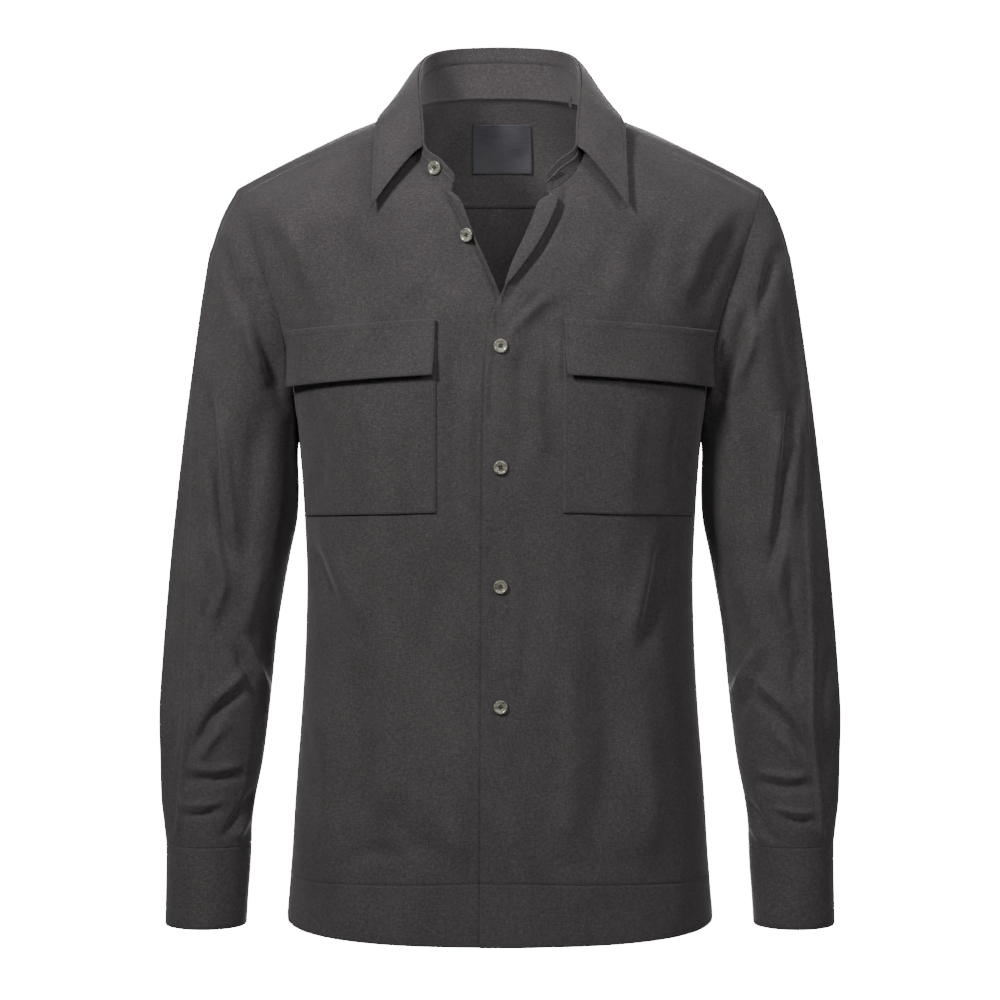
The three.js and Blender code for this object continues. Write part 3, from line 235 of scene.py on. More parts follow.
SLEEVE_FRONT_STROKES = (
    (((224, 246), (235, 290), (247, 332)), 6, -3.0), (((250, 292), (268, 350), (284, 402)), 9, -3.6),
    (((207, 395), (211, 436), (218, 497), (227, 562)), 6, -3.2),
    (((238, 298), (251, 344), (263, 378)), 6, 2.8),
    (((219, 415), (226, 470), (233, 540)), 6, 2.2), (((199, 395), (203, 440), (208, 505)), 5, 1.5),
    (((217, 536), (224, 586), (211, 624)), 6, 2.6), (((206, 560), (209, 596), (200, 628)), 5, -1.6),
    (((213, 245), (203, 308), (196, 363), (194, 430), (194, 497), (190, 575), (188, 648), (188, 719),
      (182, 783), (178, 832)), 2.4, 1.3),
    (((243, 688), (226, 704), (209, 721), (195, 748)), 5, -3.2),
    (((247, 671), (229, 688), (211, 703)), 5, 2.2),
    (((226, 724), (210, 742), (199, 764)), 5, 1.8), (((246, 643), (258, 668), (271, 695)), 3.5, 2.3),
    (((236, 650), (249, 680), (260, 706)), 4.5, -2.2), (((190, 779), (215, 781), (241, 775)), 3.6, -2.4),
    (((191, 769), (214, 770), (238, 766)), 3.6, 1.7), (((186, 815), (201, 816), (218, 811)), 3, -2.0),
    (((186, 806), (206, 805), (224, 801)), 3, 1.4), (((255, 792), (240, 812), (226, 834)), 3.6, -2.4),
    (((262, 800), (247, 822), (236, 840)), 3.2, 1.5), (((246, 214), (253, 246), (265, 284)), 4, -1.8),
    (((256, 420), (252, 500), (246, 570)), 10, -1.8), (((262, 560), (250, 610), (240, 640)), 8, 1.6),
    (((172, 650), (176, 700), (172, 760)), 5, -1.5), (((200, 640), (206, 672), (200, 700)), 6, -1.5),
)
SLEEVE_BACK_STROKES = (
    (((776, 240), (764, 300), (750, 352)), 7, -3.0), (((748, 300), (735, 360), (722, 410)), 8, -3.0),
    (((762, 310), (750, 360), (740, 402)), 6, 2.4), (((796, 400), (790, 470), (784, 540)), 7, -2.6),
    (((782, 400), (772, 470), (766, 530)), 7, 2.2), (((806, 548), (776, 560), (748, 556)), 6, -3.0),
    (((808, 530), (776, 542), (750, 536)), 6, 2.4), (((812, 590), (784, 604), (756, 598)), 5, -2.6),
    (((812, 574), (784, 586), (758, 580)), 5, 2.2), (((818, 640), (790, 652), (764, 640)), 5, -2.4),
    (((816, 626), (790, 634), (764, 624)), 5, 2.0), (((806, 700), (790, 716), (770, 740)), 5, -2.2),
    (((800, 780), (784, 782), (768, 778)), 4, -2.0), (((800, 770), (784, 771), (768, 768)), 4, 1.4),
    (((812, 812), (796, 816), (780, 812)), 3.5, -1.8),
)

# Pockets and flaps
POCKET = dict(
    top_inner=-196, top_outer=-205, low_inner=-342, low_outer=-348.5,
    inner=54, inner_low=54, outer_top=179, outer_low=167.5,
)
FLAP = dict(
    top_inner=-178, top_outer=-188, low_inner=-225, low_outer=-235,
    inner=54, inner_low=56, outer_top=183, outer_low=178,
)
FLAP_FLARE = 5

# Sleeve plackets: place round the sleeve, half width and heights
PLACKET = dict(at=-0.9, half=11, top=-520, bottom=-630)

# Buttons and buttonholes
BUTTON_HEIGHTS = (-201, -303, -404.5, -507)
BUTTON_X = 0.5
OPEN_BUTTON = dict(z=-108, gap=0.9)
STAND_BUTTON = dict(at=0.91, level=0.6, sunk=0.8)
CUFF_BUTTON_TURN = 0.3
HOLE_R = 0.75
HOLE_OUT = 1.35
STRIP_HOLE = dict(z=-84, below=-96, out=0.2)
STAND_HOLE = dict(at=0.95, before=0.92, after=0.98, level=0.55, sunk=0.9, length=12.0)

# Top of the stand, label and tab
LABEL = dict(width=54, height=44, middle=2, top=-4, gap=0.9)
BAND_ROLL = 1.0
BAND_GROOVE = 0.5
BAND_TUCK = 3.2
TAB = dict(at=0.335, inside=2.8, width=4, rise=5, reach=11, belly=1.2)

SIDES = (("left", 1), ("right", -1))


def clamp(value, low=0.0, high=1.0):
    return max(low, min(high, value))


def lerp(a, b, t):
    return a + (b - a) * t


def smooth(value, low, high):
    t = clamp((value - low) / (high - low))
    return t * t * (3 - 2 * t)


def smooth_all(values, low, high):
    t = np.clip((values - low) / (high - low), 0, 1)
    return t * t * (3 - 2 * t)


def lookup(rows, key, value, column):
    """A smooth value between the rows of a table whose key rises or falls steadily."""
    sign = 1 if rows[-1][key] > rows[0][key] else -1
    i = 0
    while i < len(rows) - 2 and sign * value > sign * rows[i + 1][key]:
        i += 1

    def slope(k):
        before = rows[max(k - 1, 0)]
        after = rows[min(k + 1, len(rows) - 1)]
        return (after[column] - before[column]) / (after[key] - before[key])

    span = rows[i + 1][key] - rows[i][key]
    t = clamp((value - rows[i][key]) / span)
    t2 = t * t
    t3 = t2 * t
    return ((2 * t3 - 3 * t2 + 1) * rows[i][column] + (t3 - 2 * t2 + t) * span * slope(i)
            + (3 * t2 - 2 * t3) * rows[i + 1][column] + (t3 - t2) * span * slope(i + 1))


def ridge(x):
    """Height of the shoulder line above a distance from the middle."""
    far = abs(x)
    if far >= NECK_HALF:
        out = far - NECK_HALF
        return NECK_POINT_Z - SHOULDER_SLOPE * out - SHOULDER_BEND * out * out
    s = far / NECK_HALF
    fall = 2 * s ** 3 - 3 * s ** 2 + 1
    return NECK_HILL_Z * fall + NECK_POINT_Z * (1 - fall) - SHOULDER_SLOPE * NECK_HALF * (s ** 3 - s ** 2)


def rounding(x):
    return ROUNDING_AT_NECK - ROUNDING_LOSS * abs(x)


def section(z):
    return tuple(lookup(BODY, "z", z, name) for name in ("half", "front", "back"))


def depth(x, z, side):
    half, front_reach, back_reach = section(z)
    across = max(0.0, 1 - (abs(x) / half) ** SQUARENESS) ** (1 / SQUARENESS)
    t = (ridge(x) - z) / rounding(x)
    cap = 1.0 if t >= 1 else math.sqrt(max(0.0, 1 - (1 - t) ** 2))
    return side * (front_reach if side < 0 else back_reach) * across * cap


def normal_at(p):
    """Outward direction of the worn form at a point on it."""
    side = -1 if p.y < 0 else 1
    near_ridge = (ridge(p.x) - p.z) / rounding(p.x) < 0.9

    def level(x, y, z):
        half, front_reach, back_reach = section(z)
        reach = front_reach if side < 0 else back_reach
        a = (abs(x) / half) ** SQUARENESS
        if near_ridge:
            u = (ridge(x) - z) / rounding(x)
            return (y / (reach * max(0.02, 1 - a) ** (1 / SQUARENESS))) ** 2 + (1 - u) ** 2
        return a + (abs(y) / reach) ** SQUARENESS

    e = 0.5
    return Vector((
        level(p.x + e, p.y, p.z) - level(p.x - e, p.y, p.z),
        level(p.x, p.y + e, p.z) - level(p.x, p.y - e, p.z),
        level(p.x, p.y, p.z + e) - level(p.x, p.y, p.z - e),
    )).normalized()


def fold_height(folds, x, z):
    """Rise of the cloth from a list of folds; x and z may be arrays."""
    total = 0.0 * z
    for f in folds:
        along = (z - f["z"]) / f["long"]
        off = (x - f["x"] - f["lean"] * (z - f["z"])) / f["across"]
        total = total + f["rise"] * np.exp(-along * along - off * off)
    return total


def body_fold(p):
    folds = FRONT_FOLDS if p.y < 0 else BACK_FOLDS
    return smooth(abs(p.y), 20, 60) * smooth(-p.z, 60, 110) * float(fold_height(folds, p.x, p.z))


def skin(x, z, side, out=0.0):
    """A point on the worn form with its broad folds, moved out by a distance."""
    p = Vector((x, depth(x, z, side), z))
    return p + normal_at(p) * (out + body_fold(p))


def turn_of(x, z):
    s = min(1.0, abs(x) / section(z)[0])
    return math.copysign(math.asin(s ** (SQUARENESS / 2)), x)


def across_of(turn, z):
    return math.copysign(section(z)[0] * abs(math.sin(turn)) ** (2 / SQUARENESS), turn)


def neck_point(at, kind, sign):
    x, y, z = (lookup(NECK, "at", at, kind + axis) for axis in "xyz")
    return Vector((sign * x, y, z))


def armhole_x(z, side):
    return lookup(ARMHOLE, "z", z, "front" if side < 0 else "back")


def form_run(start, end, steps, side):
    turn_from = turn_of(start.x, start.z)
    turn_to = turn_of(end.x, end.z)
    base = skin(start.x, start.z, side)
    off = start - base
    run = []
    for k in range(steps + 1):
        s = k / steps
        z = lerp(start.z, end.z, s)
        run.append(skin(across_of(lerp(turn_from, turn_to, s), z), z, side) + off * (1 - s) ** 3)
    return run


def overlap_lift(x, z):
    return OVERLAP_LIFT * smooth(-z, 150, 182) * (1 - smooth(x, LIFT_FULL_X, LIFT_FROM_X))


def front_edge(z, is_left):
    """The three outermost points of a front edge: free edge, middle and turn line."""
    names = ("turn", "left", "leftOff") if is_left else ("rightTurn", "right", "rightOff")
    turn_x, free_x, off = (lookup(EDGE, "z", z, name) for name in names)
    shares = (1, 0.9, 0.35) if is_left else (1, 0.5, 0)
    places = (free_x, (free_x + turn_x) / 2, turn_x)
    return [skin(x, z, -1, off * share) for x, share in zip(places, shares)]


def edge_and_panel(edge, outer, sign):
    run = form_run(edge[2], outer, FRONT_COLUMNS, -1)
    turn = edge[2]
    if turn.z < LAPPED_FROM_Z:
        past = skin(sign * LIFT_FULL_X, turn.z, -1)
    else:
        past = turn.lerp(run[1], 0.5)
    return [*edge, past, *run[1:]]


def front_grid(is_left):
    sign = 1 if is_left else -1
    rows = []
    for i, row in enumerate(FRONT_ROWS):
        outer = Vector((sign * armhole_x(row["outer"], -1), 0, row["outer"]))
        if i < len(NECK_ROWS):
            run = form_run(neck_point(NECK_ROWS[i], "s", sign), outer, FRONT_COLUMNS, -1)
            rows.append([run[0].lerp(run[1], share) for share in NEAR_NECK_SHARES] + run[1:])
        else:
            rows.append(edge_and_panel(front_edge(row["inner"], is_left), outer, sign))
    for z in SIDE_LEVELS:
        outer = Vector((sign * section(z)[0], 0, z))
        risen = HEM_SEAM_RISE * (WAIST_Z - z) / (WAIST_Z - HEM_SEAM_Z)
        rows.append(edge_and_panel(front_edge(z + risen, is_left), outer, sign))
    if is_left:
        rows = [[p + normal_at(p) * overlap_lift(p.x, p.z) if p.y < 0 else p for p in row] for row in rows]
    return rows


def back_row(inner_z, outer_z, half_across):
    turn = turn_of(half_across, outer_z)
    row = []
    for k in range(-BACK_HALF_COLUMNS, BACK_HALF_COLUMNS + 1):
        s = k / BACK_HALF_COLUMNS
        z = lerp(inner_z, outer_z, s * s)
        row.append(skin(across_of(turn * s, z), z, 1))
    return row


def back_grid():
    rows = [back_row(r["inner"], r["outer"], armhole_x(r["outer"], 1)) for r in BACK_ROWS]
    return rows + [back_row(z, z, section(z)[0]) for z in SIDE_LEVELS]


def shoulder_arc(sign):
    points = []
    front_z = FRONT_ROWS[0]["outer"]
    back_z = BACK_ROWS[0]["outer"]
    tip_z = SLEEVE[0]["oz"]
    for k in range(SHOULDER_STEPS + 1):
        s = k / SHOULDER_STEPS
        if k == 0:
            points.append(skin(sign * armhole_x(front_z, -1), front_z, -1))
        elif k == SHOULDER_STEPS:
            points.append(skin(sign * armhole_x(back_z, 1), back_z, 1))
        else:
            low = lerp(front_z, tip_z, s * 2) if s < 0.5 else lerp(tip_z, back_z, s * 2 - 1)
            side = -1 if s < 0.45 else 1
            x = sign * min(armhole_x(low, side), SHOULDER_TIP_X)
            points.append(skin(x, min(low, ridge(x) - 0.4), side))
    return points


def yoke_columns():
    first = BACK_ROWS[0]
    back_top = back_row(first["inner"], first["outer"], armhole_x(first["outer"], 1))

    def over_shoulder(sign):
        ats = [lerp(NECK_ROWS[0], 0.4, k / SHOULDER_STEPS) for k in range(SHOULDER_STEPS + 1)]
        return [(neck_point(at, "s", sign), outer) for at, outer in zip(ats, shoulder_arc(sign))]

    columns = over_shoulder(1)
    for k in range(1, 2 * BACK_HALF_COLUMNS):
        s = 1 - k / BACK_HALF_COLUMNS
        sign = -1 if s < 0 else 1
        columns.append((neck_point(abs(s) * 0.4, "s", sign), back_top[2 * BACK_HALF_COLUMNS - k]))
    return columns + over_shoulder(-1)[::-1]


def yoke_grid():
    columns = yoke_columns()
    lines = []
    for i, (neck, outer) in enumerate(columns):
        if i in (0, len(columns) - 1):
            lines.append(form_run(neck, outer, FRONT_COLUMNS, -1))
            continue
        line = []
        for k in range(FRONT_COLUMNS + 1):
            s = k / FRONT_COLUMNS
            p = neck.lerp(outer, s)
            hump = math.sin(math.pi * s)
            steep = abs(p.y) / (abs(p.y) + 40)
            side = math.copysign(1, p.y) if p.y else 0
            line.append(p + Vector((0, side * hump * 13 * steep, hump * 7 * (1 - steep))))
        lines.append(line)
    return lines


def armhole_loop(sign):
    loop = shoulder_arc(sign)
    loop += [skin(sign * armhole_x(r["outer"], 1), r["outer"], 1) for r in BACK_ROWS[1:]]
    for row in FRONT_ROWS[-2:0:-1]:
        loop.append(skin(sign * armhole_x(row["outer"], -1), row["outer"], -1))
    return loop


def section_point(row, angle, sign):
    """A place on a sleeve or cuff section, by its angle from the outer side round the front."""
    c = math.cos(angle)
    s = math.sin(angle)
    reach = row["front"] if s > 0 else row["back"]
    return Vector((
        sign * ((row["ox"] + row["ix"]) / 2 + (row["ox"] - row["ix"]) / 2 * c),
        row["mid"] - reach * s,
        (row["oz"] + row["iz"]) / 2 + (row["oz"] - row["iz"]) / 2 * c,
    ))


def section_middle(row, sign):
    return section_point(row, 0, sign).lerp(section_point(row, math.pi, sign), 0.5)


def angle_on(row, p, sign):
    chord_x = row["ox"] - row["ix"]
    chord_z = row["oz"] - row["iz"]
    off_x = sign * p.x - (row["ox"] + row["ix"]) / 2
    off_z = p.z - (row["oz"] + row["iz"]) / 2
    c = 2 * (off_x * chord_x + off_z * chord_z) / (chord_x ** 2 + chord_z ** 2)
    s = (row["mid"] - p.y) / (row["front"] if p.y < row["mid"] else row["back"])
    return math.atan2(s, c)


def sleeve_fade(z):
    return smooth_all(-z, 120, 170) * (1 - smooth_all(-z, 600, 631))


def sleeve_grid(sign):
    """Sleeve points with their angles, so that creases can be placed on them."""
    loop = armhole_loop(sign)
    angles = [angle_on(SLEEVE[0], p, sign) for p in loop]
    rings = []
    for i, row in enumerate(SLEEVE):
        ring = []
        middle = section_middle(row, sign)
        for p, angle in zip(loop, angles):
            off = p - section_point(SLEEVE[0], angle, sign)
            place = section_point(row, angle, sign) + off * row["keep"]
            if i:
                z = np.float64(place.z)
                rise = float(sleeve_fade(z) * fold_height(SLEEVE_FOLDS, angle, z))
                place = place + (place - middle).normalized() * rise
            ring.append((*place, math.cos(angle), math.sin(angle)))
        rings.append(ring)
    return np.array(rings)


def cuff_grid(sign):
    rows = []
    for row in CUFF:
        middle = section_middle(row, sign)
        line = []
        for k in range(CUFF_STEPS + CUFF_OVERLAP_STEPS + 1):
            p = section_point(row, CUFF_START_ANGLE + 2 * math.pi * k / CUFF_STEPS, sign)
            lap = (DOUBLE_WALL + 2 * LAY_GAP) * smooth(k, CUFF_STEPS - 4, CUFF_STEPS)
            line.append(p + (p - middle).normalized() * lap)
        rows.append(line)
    return rows


def neck_stations():
    half = [0.4 * k / BACK_HALF_COLUMNS for k in range(BACK_HALF_COLUMNS + 1)]
    half += [lerp(0.4, NECK_ROWS[0], k / SHOULDER_STEPS) for k in range(1, SHOULDER_STEPS + 1)]
    half += NECK_ROWS[1:]
    return [(at, 1) for at in half[:0:-1]] + [(at, -1) for at in half]


def stand_grid():
    rows = []
    for level in (0, 0.3, 0.65, 0.96):
        row = []
        for at, sign in neck_stations():
            p = neck_point(at, "s", sign).lerp(neck_point(at, "t", sign), level)
            away = Vector((p.x, p.y, 0)).normalized()
            row.append(p - away * 1.6 * smooth(level, 0, 0.5))
        rows.append(row)
    return rows


def leaf_grid():
    rows = []
    for level in (0, 0.12, 0.34, 0.67, 1):
        row = []
        for at, sign in neck_stations():
            if at > LEAF_END + 0.001:
                continue
            top = neck_point(at, "t", sign)
            edge = neck_point(at, "e", sign)
            away = edge - top
            away.z = 0
            away.normalize()
            p = (top + Vector((0, 0, 2.4)) - away * 1.6).lerp(edge, level)
            belly = 4 * level ** 0.5 * (1 - level) * 2
            row.append(p + away * belly + Vector((0, 0, belly * 0.35)))
        rows.append(row)
    return rows


def patch_grid(sign, corners, out, levels, columns, flare=0.0):
    """A patch laid on a front, worked out from that front's own form moved out."""
    rows = []
    for i in range(levels + 1):
        v = i / levels
        row = []
        for j in range(columns + 1):
            u = j / columns
            z = lerp(lerp(corners["top_inner"], corners["top_outer"], u),
                     lerp(corners["low_inner"], corners["low_outer"], u), v)
            inner = lerp(corners["inner"], corners["inner_low"], v)
            outer = lerp(corners["outer_top"], corners["outer_low"], v)
            turn = lerp(turn_of(inner, z), turn_of(outer, z), u)
            row.append(skin(sign * across_of(turn, z), z, -1, out + flare * v * v))
        rows.append(row)
    return rows


def hem_bottom(turn):
    s = abs(turn) / (math.pi / 2)
    return lerp(HEM_CENTRE_Z, HEM_SIDE_Z, s ** 2) + HEM_CORNER * smooth(s, 0.86, 1) ** 2


def hem_front_grid(is_left):
    top = front_grid(is_left)[-1]
    side = math.pi / 2 if is_left else -math.pi / 2
    rows = [top]
    for i in range(1, HEM_STEPS + 1):
        row = []
        for j, p in enumerate(top):
            turn = side if j == len(top) - 1 else turn_of(p.x, HEM_SEAM_Z)
            z = lerp(p.z, hem_bottom(turn), i / HEM_STEPS)
            q = skin(across_of(turn, z), z, -1)
            row.append(q + normal_at(q) * overlap_lift(q.x, q.z) if is_left else q)
        rows.append(row)
    return rows


def hem_back_grid():
    top = back_grid()[-1]
    rows = [top]
    for i in range(1, HEM_STEPS + 1):
        row = []
        for j in range(len(top)):
            turn = (j - BACK_HALF_COLUMNS) / BACK_HALF_COLUMNS * math.pi / 2
            z = lerp(HEM_SEAM_Z, hem_bottom(turn), i / HEM_STEPS)
            row.append(skin(across_of(turn, z), z, 1))
        rows.append(row)
    return rows


def refine_rows(grid, fine):
    """Points between the rows of a grid, on smooth curves through them."""
    before = np.concatenate([grid[:1] * 2 - grid[1:2], grid[:-2]])
    start = grid[:-1]
    end = grid[1:]
    after = np.concatenate([grid[2:], grid[-1:] * 2 - grid[-2:-1]])
    bend = 2 * before - 5 * start + 4 * end - after
    twist = 3 * start - before - 3 * end + after
    parts = []
    for k in range(fine):
        t = k / fine
        parts.append(0.5 * (2 * start + (end - before) * t + bend * t * t + twist * t ** 3))
    woven = np.stack(parts, axis=1).reshape(-1, *grid.shape[1:])
    return np.concatenate([woven, grid[-1:]])


def refine(grid, down=FINE, across=FINE, ring=False):
    grid = refine_rows(np.asarray(grid, dtype=float), down)
    turned = grid.swapaxes(0, 1)
    if not ring:
        return refine_rows(turned, across).swapaxes(0, 1)
    count = len(turned)
    wide = np.concatenate([turned[-2:], turned, turned[:3]])
    return refine_rows(wide, across)[2 * across:(2 + count) * across].swapaxes(0, 1)


def grid_normals(grid, ring=False, outward=None):
    """Outward unit directions of a grid of points, turned to agree with a test of the middle one."""
    p = grid[..., :3]
    down = np.gradient(p, axis=0)
    if ring:
        along = (np.roll(p, -1, axis=1) - np.roll(p, 1, axis=1)) / 2
    else:
        along = np.gradient(p, axis=1)
    n = np.cross(along, down)
    n /= np.maximum(np.linalg.norm(n, axis=-1, keepdims=True), 1e-9)
    i = grid.shape[0] // 2
    j = grid.shape[1] // 3
    if np.dot(n[i, j], outward(p[i, j])) < 0:
        n = -n
    return n


def from_axis(p):
    return np.array((p[0], p[1], 0.0))


def to_axis(p):
    return -from_axis(p)


def from_sleeve(p):
    return np.array((p[0] - math.copysign(SLEEVE_MIDDLE_X, p[0]), p[1] + SLEEVE_FORWARD, 0.0))


def upward(p):
    return np.array((p[0], p[1], 60.0))


def frontward(p):
    return np.array((0, -1.0, 0))


def make_piece(name, spots, faces, material):
    mesh = bpy.data.meshes.new(name)
    mesh.from_pydata((np.array([tuple(v) for v in spots]) * MM).tolist(), [], [tuple(f) for f in faces])
    mesh.validate()
    for polygon in mesh.polygons:
        polygon.use_smooth = True
    mesh.materials.append(material)
    piece = bpy.data.objects.new(name, mesh)
    bpy.context.scene.collection.objects.link(piece)
    return piece


def quad_piece(name, spots, quads, material):
    """A mesh from arrays of points and four-sided faces."""
    mesh = bpy.data.meshes.new(name)
    mesh.vertices.add(len(spots))
    mesh.vertices.foreach_set("co", (spots * MM).ravel())
    mesh.loops.add(quads.size)
    mesh.loops.foreach_set("vertex_index", quads.ravel())
    mesh.polygons.add(len(quads))
    mesh.polygons.foreach_set("loop_start", np.arange(0, quads.size, 4))
    mesh.polygons.foreach_set("use_smooth", np.ones(len(quads), dtype=bool))
    mesh.update(calc_edges=True)
    mesh.validate()
    mesh.materials.append(material)
    piece = bpy.data.objects.new(name, mesh)
    bpy.context.scene.collection.objects.link(piece)
    return piece


def wall_mesh(outer, inner, ring=False):
    """Points and faces of a closed wall between an outer and an inner grid."""
    height, width = outer.shape[:2]
    spots = np.concatenate([outer.reshape(-1, 3), inner.reshape(-1, 3)])
    index = np.arange(height * width).reshape(height, width)
    if ring:
        index = np.concatenate([index, index[:, :1]], axis=1)
    under = index + height * width

    def band(a, b, c, d):
        return np.stack([a.ravel(), b.ravel(), c.ravel(), d.ravel()], axis=1)

    faces = [
        band(index[:-1, :-1], index[1:, :-1], index[1:, 1:], index[:-1, 1:]),
        band(under[:-1, :-1], under[:-1, 1:], under[1:, 1:], under[1:, :-1]),
        band(index[0, :-1], index[0, 1:], under[0, 1:], under[0, :-1]),
        band(index[-1, :-1], under[-1, :-1], under[-1, 1:], index[-1, 1:]),
    ]
    if not ring:
        faces.append(band(index[:-1, 0], under[:-1, 0], under[1:, 0], index[1:, 0]))
        faces.append(band(index[:-1, -1], index[1:, -1], under[1:, -1], under[:-1, -1]))
    quads = np.concatenate(faces)
    a, b, c, d = (spots[quads[:, k]] - spots.mean(axis=0) for k in range(4))
    volume = (a * (np.cross(b, c) + np.cross(c, d))).sum()
    return spots, quads[:, ::-1] if volume < 0 else quads


def step_in(edge, next_row, near):
    gap = next_row - edge
    return edge + gap * np.minimum(near / np.maximum(np.linalg.norm(gap, axis=-1, keepdims=True), 1e-6), 0.5)


def with_edge_rows(points, near):
    """One more row close to the first and last row, so that edges can be rolled or sunk."""
    top = step_in(points[:1], points[1:2], near)
    bottom = step_in(points[-1:], points[-2:-1], near)
    return np.concatenate([points[:1], top, points[1:-1], bottom, points[-1:]])


def turned_under(points, place, beside, normals, reach, sink):
    """Moves a sewn edge on past its seam and under the cloth of the next piece."""
    away = points[place] - points[beside]
    away /= np.maximum(np.linalg.norm(away, axis=-1, keepdims=True), 1e-6)
    points[place] += away * reach - normals[place] * sink


def cloth(name, grid, thickness, material, outward=from_axis, ring=False, sunk=(), near=1.3, under=None):
    """A cloth piece from a fine grid: sewn edges go under their neighbours, free edges roll over."""
    points = with_edge_rows(grid[..., :3], near)
    if not ring:
        points = with_edge_rows(points.swapaxes(0, 1), near).swapaxes(0, 1)
    n = grid_normals(points, ring, outward)
    roll = np.zeros(points.shape[:2])
    every = slice(None)
    edges = {"top": (0, 1), "bottom": (-1, -2)}
    if not ring:
        edges.update(start=((every, 0), (every, 1)), end=((every, -1), (every, -2)))
    for edge, (place, beside) in edges.items():
        if edge in sunk:
            reach, sink = (under or {}).get(edge, UNDER_SEAM)
            turned_under(points, place, beside, n, reach, sink)
        else:
            roll[place] = EDGE_ROLL * thickness
    outer = points - n * roll[..., None]
    inner = points - n * (thickness - roll)[..., None]
    spots, quads = wall_mesh(outer, inner, ring)
    return quad_piece(name, spots, quads, material)


def view_pixels(points):
    """Where the camera shows points of the part, in pixels."""
    y = points[..., 1] + CAMERA_AWAY
    z = points[..., 2] - CAMERA_Z
    far = y * math.cos(CAMERA_DOWN) - z * math.sin(CAMERA_DOWN)
    high = y * math.sin(CAMERA_DOWN) + z * math.cos(CAMERA_DOWN)
    return PICTURE / 2 + FOCAL * points[..., 0] / far, PICTURE / 2 - FOCAL * high / far


def stroke_rise(strokes, px, py):
    """Rise of the cloth at each pixel place from a list of strokes."""
    total = np.zeros(px.shape)
    for run, width, rise in strokes:
        nearest = np.full(px.shape, 1e9)
        for (ax, ay), (bx, by) in zip(run[:-1], run[1:]):
            length = (bx - ax) ** 2 + (by - ay) ** 2
            t = np.clip(((px - ax) * (bx - ax) + (py - ay) * (by - ay)) / length, 0, 1)
            nearest = np.minimum(nearest, np.hypot(px - ax - t * (bx - ax), py - ay - t * (by - ay)))
        ends = (run[0], run[-1])
        near_end = np.minimum(*(np.hypot(px - x, py - y) for x, y in ends))
        fade = CREASE_END + (1 - CREASE_END) * smooth_all(near_end, 0, 3 * width)
        total += CREASE_DEPTH * rise * np.exp(-(nearest / width) ** 2) * fade
    return total


def creased(grid, strokes, outward, ring=False, from_behind=False, fade=1.0):
    """A fine grid with its listed creases, on the side that faces the view."""
    n = grid_normals(grid, ring, outward)
    seen = grid[..., :3] * (-1, -1, 1) if from_behind else grid[..., :3]
    facing = smooth_all(n[..., 1] if from_behind else -n[..., 1], 0.05, 0.5)
    rise = stroke_rise(strokes, *view_pixels(seen)) * facing * fade
    out = grid.copy()
    out[..., :3] += n * rise[..., None]
    return out


def mirrored(strokes):
    """The right sleeve's strokes on the left one, a little lower and weaker."""
    return [([(PICTURE - x, y + LEFT_DROP) for x, y in run], width, rise * LEFT_SHARE)
            for run, width, rise in strokes]


def dress(piece, node):
    """Puts a piece in place of its solid."""
    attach(piece, "root")
    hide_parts(node)


def edge_fade(shape):
    """1 inside a grid, falling to 0 at its edges, so that sewn edges stay together."""
    down = np.minimum(np.arange(shape[0]), np.arange(shape[0])[::-1])
    along = np.minimum(np.arange(shape[1]), np.arange(shape[1])[::-1])
    return smooth_all(down, 0, FADE_STEPS)[:, None] * smooth_all(along, 0, FADE_STEPS)[None, :]


class Surface:
    """A material with short ways to add noise, sums and colour ramps."""

    def __init__(self, name, **values):
        self.material = bpy.data.materials.new(name)
        self.material.use_nodes = True
        self.nodes = self.material.node_tree.nodes
        self.nodes.clear()
        self.link = self.material.node_tree.links.new
        output = self.nodes.new("ShaderNodeOutputMaterial")
        self.shader = self.nodes.new("ShaderNodeBsdfPrincipled")
        self.link(self.shader.outputs["BSDF"], output.inputs["Surface"])
        self.coords = self.nodes.new("ShaderNodeTexCoord").outputs["Object"]
        for socket, value in values.items():
            self.shader.inputs[socket.replace("_", " ")].default_value = value

    def noise(self, stretch, detail, rough):
        mapping = self.nodes.new("ShaderNodeMapping")
        mapping.inputs["Scale"].default_value = stretch
        self.link(self.coords, mapping.inputs["Vector"])
        texture = self.nodes.new("ShaderNodeTexNoise")
        texture.inputs["Scale"].default_value = 1.0
        texture.inputs["Detail"].default_value = detail
        texture.inputs["Roughness"].default_value = rough
        self.link(mapping.outputs["Vector"], texture.inputs["Vector"])
        return texture.outputs["Fac"]

    def math(self, operation, a, b):
        node = self.nodes.new("ShaderNodeMath")
        node.operation = operation
        for socket, value in zip(node.inputs, (a, b)):
            if isinstance(value, (int, float)):
                socket.default_value = value
            else:
                self.link(value, socket)
        return node.outputs[0]

    def mixed(self, first, *others):
        """The sum of some values, each with its share."""
        total = self.math("MULTIPLY", *first)
        for value, share in others:
            total = self.math("ADD", total, self.math("MULTIPLY", value, share))
        return total

    def ramp(self, factor, stops):
        node = self.nodes.new("ShaderNodeValToRGB")
        elements = node.color_ramp.elements
        while len(elements) < len(stops):
            elements.new(0.5)
        for element, (position, colour) in zip(elements, stops):
            element.position = position
            element.color = (*colour, 1)
        self.link(factor, node.inputs["Fac"])
        return node.outputs["Color"]

    def paint(self, factor, stops):
        self.link(self.ramp(factor, stops), self.shader.inputs["Base Color"])
        return self.material


# Yarn colours of the flannel, dark to light
YARNS = (
    (0.34, (0.0260, 0.0234, 0.0240)), (0.46, (0.0375, 0.0337, 0.0345)),
    (0.54, (0.0470, 0.0425, 0.0433)), (0.68, (0.0680, 0.0625, 0.0630)),
)


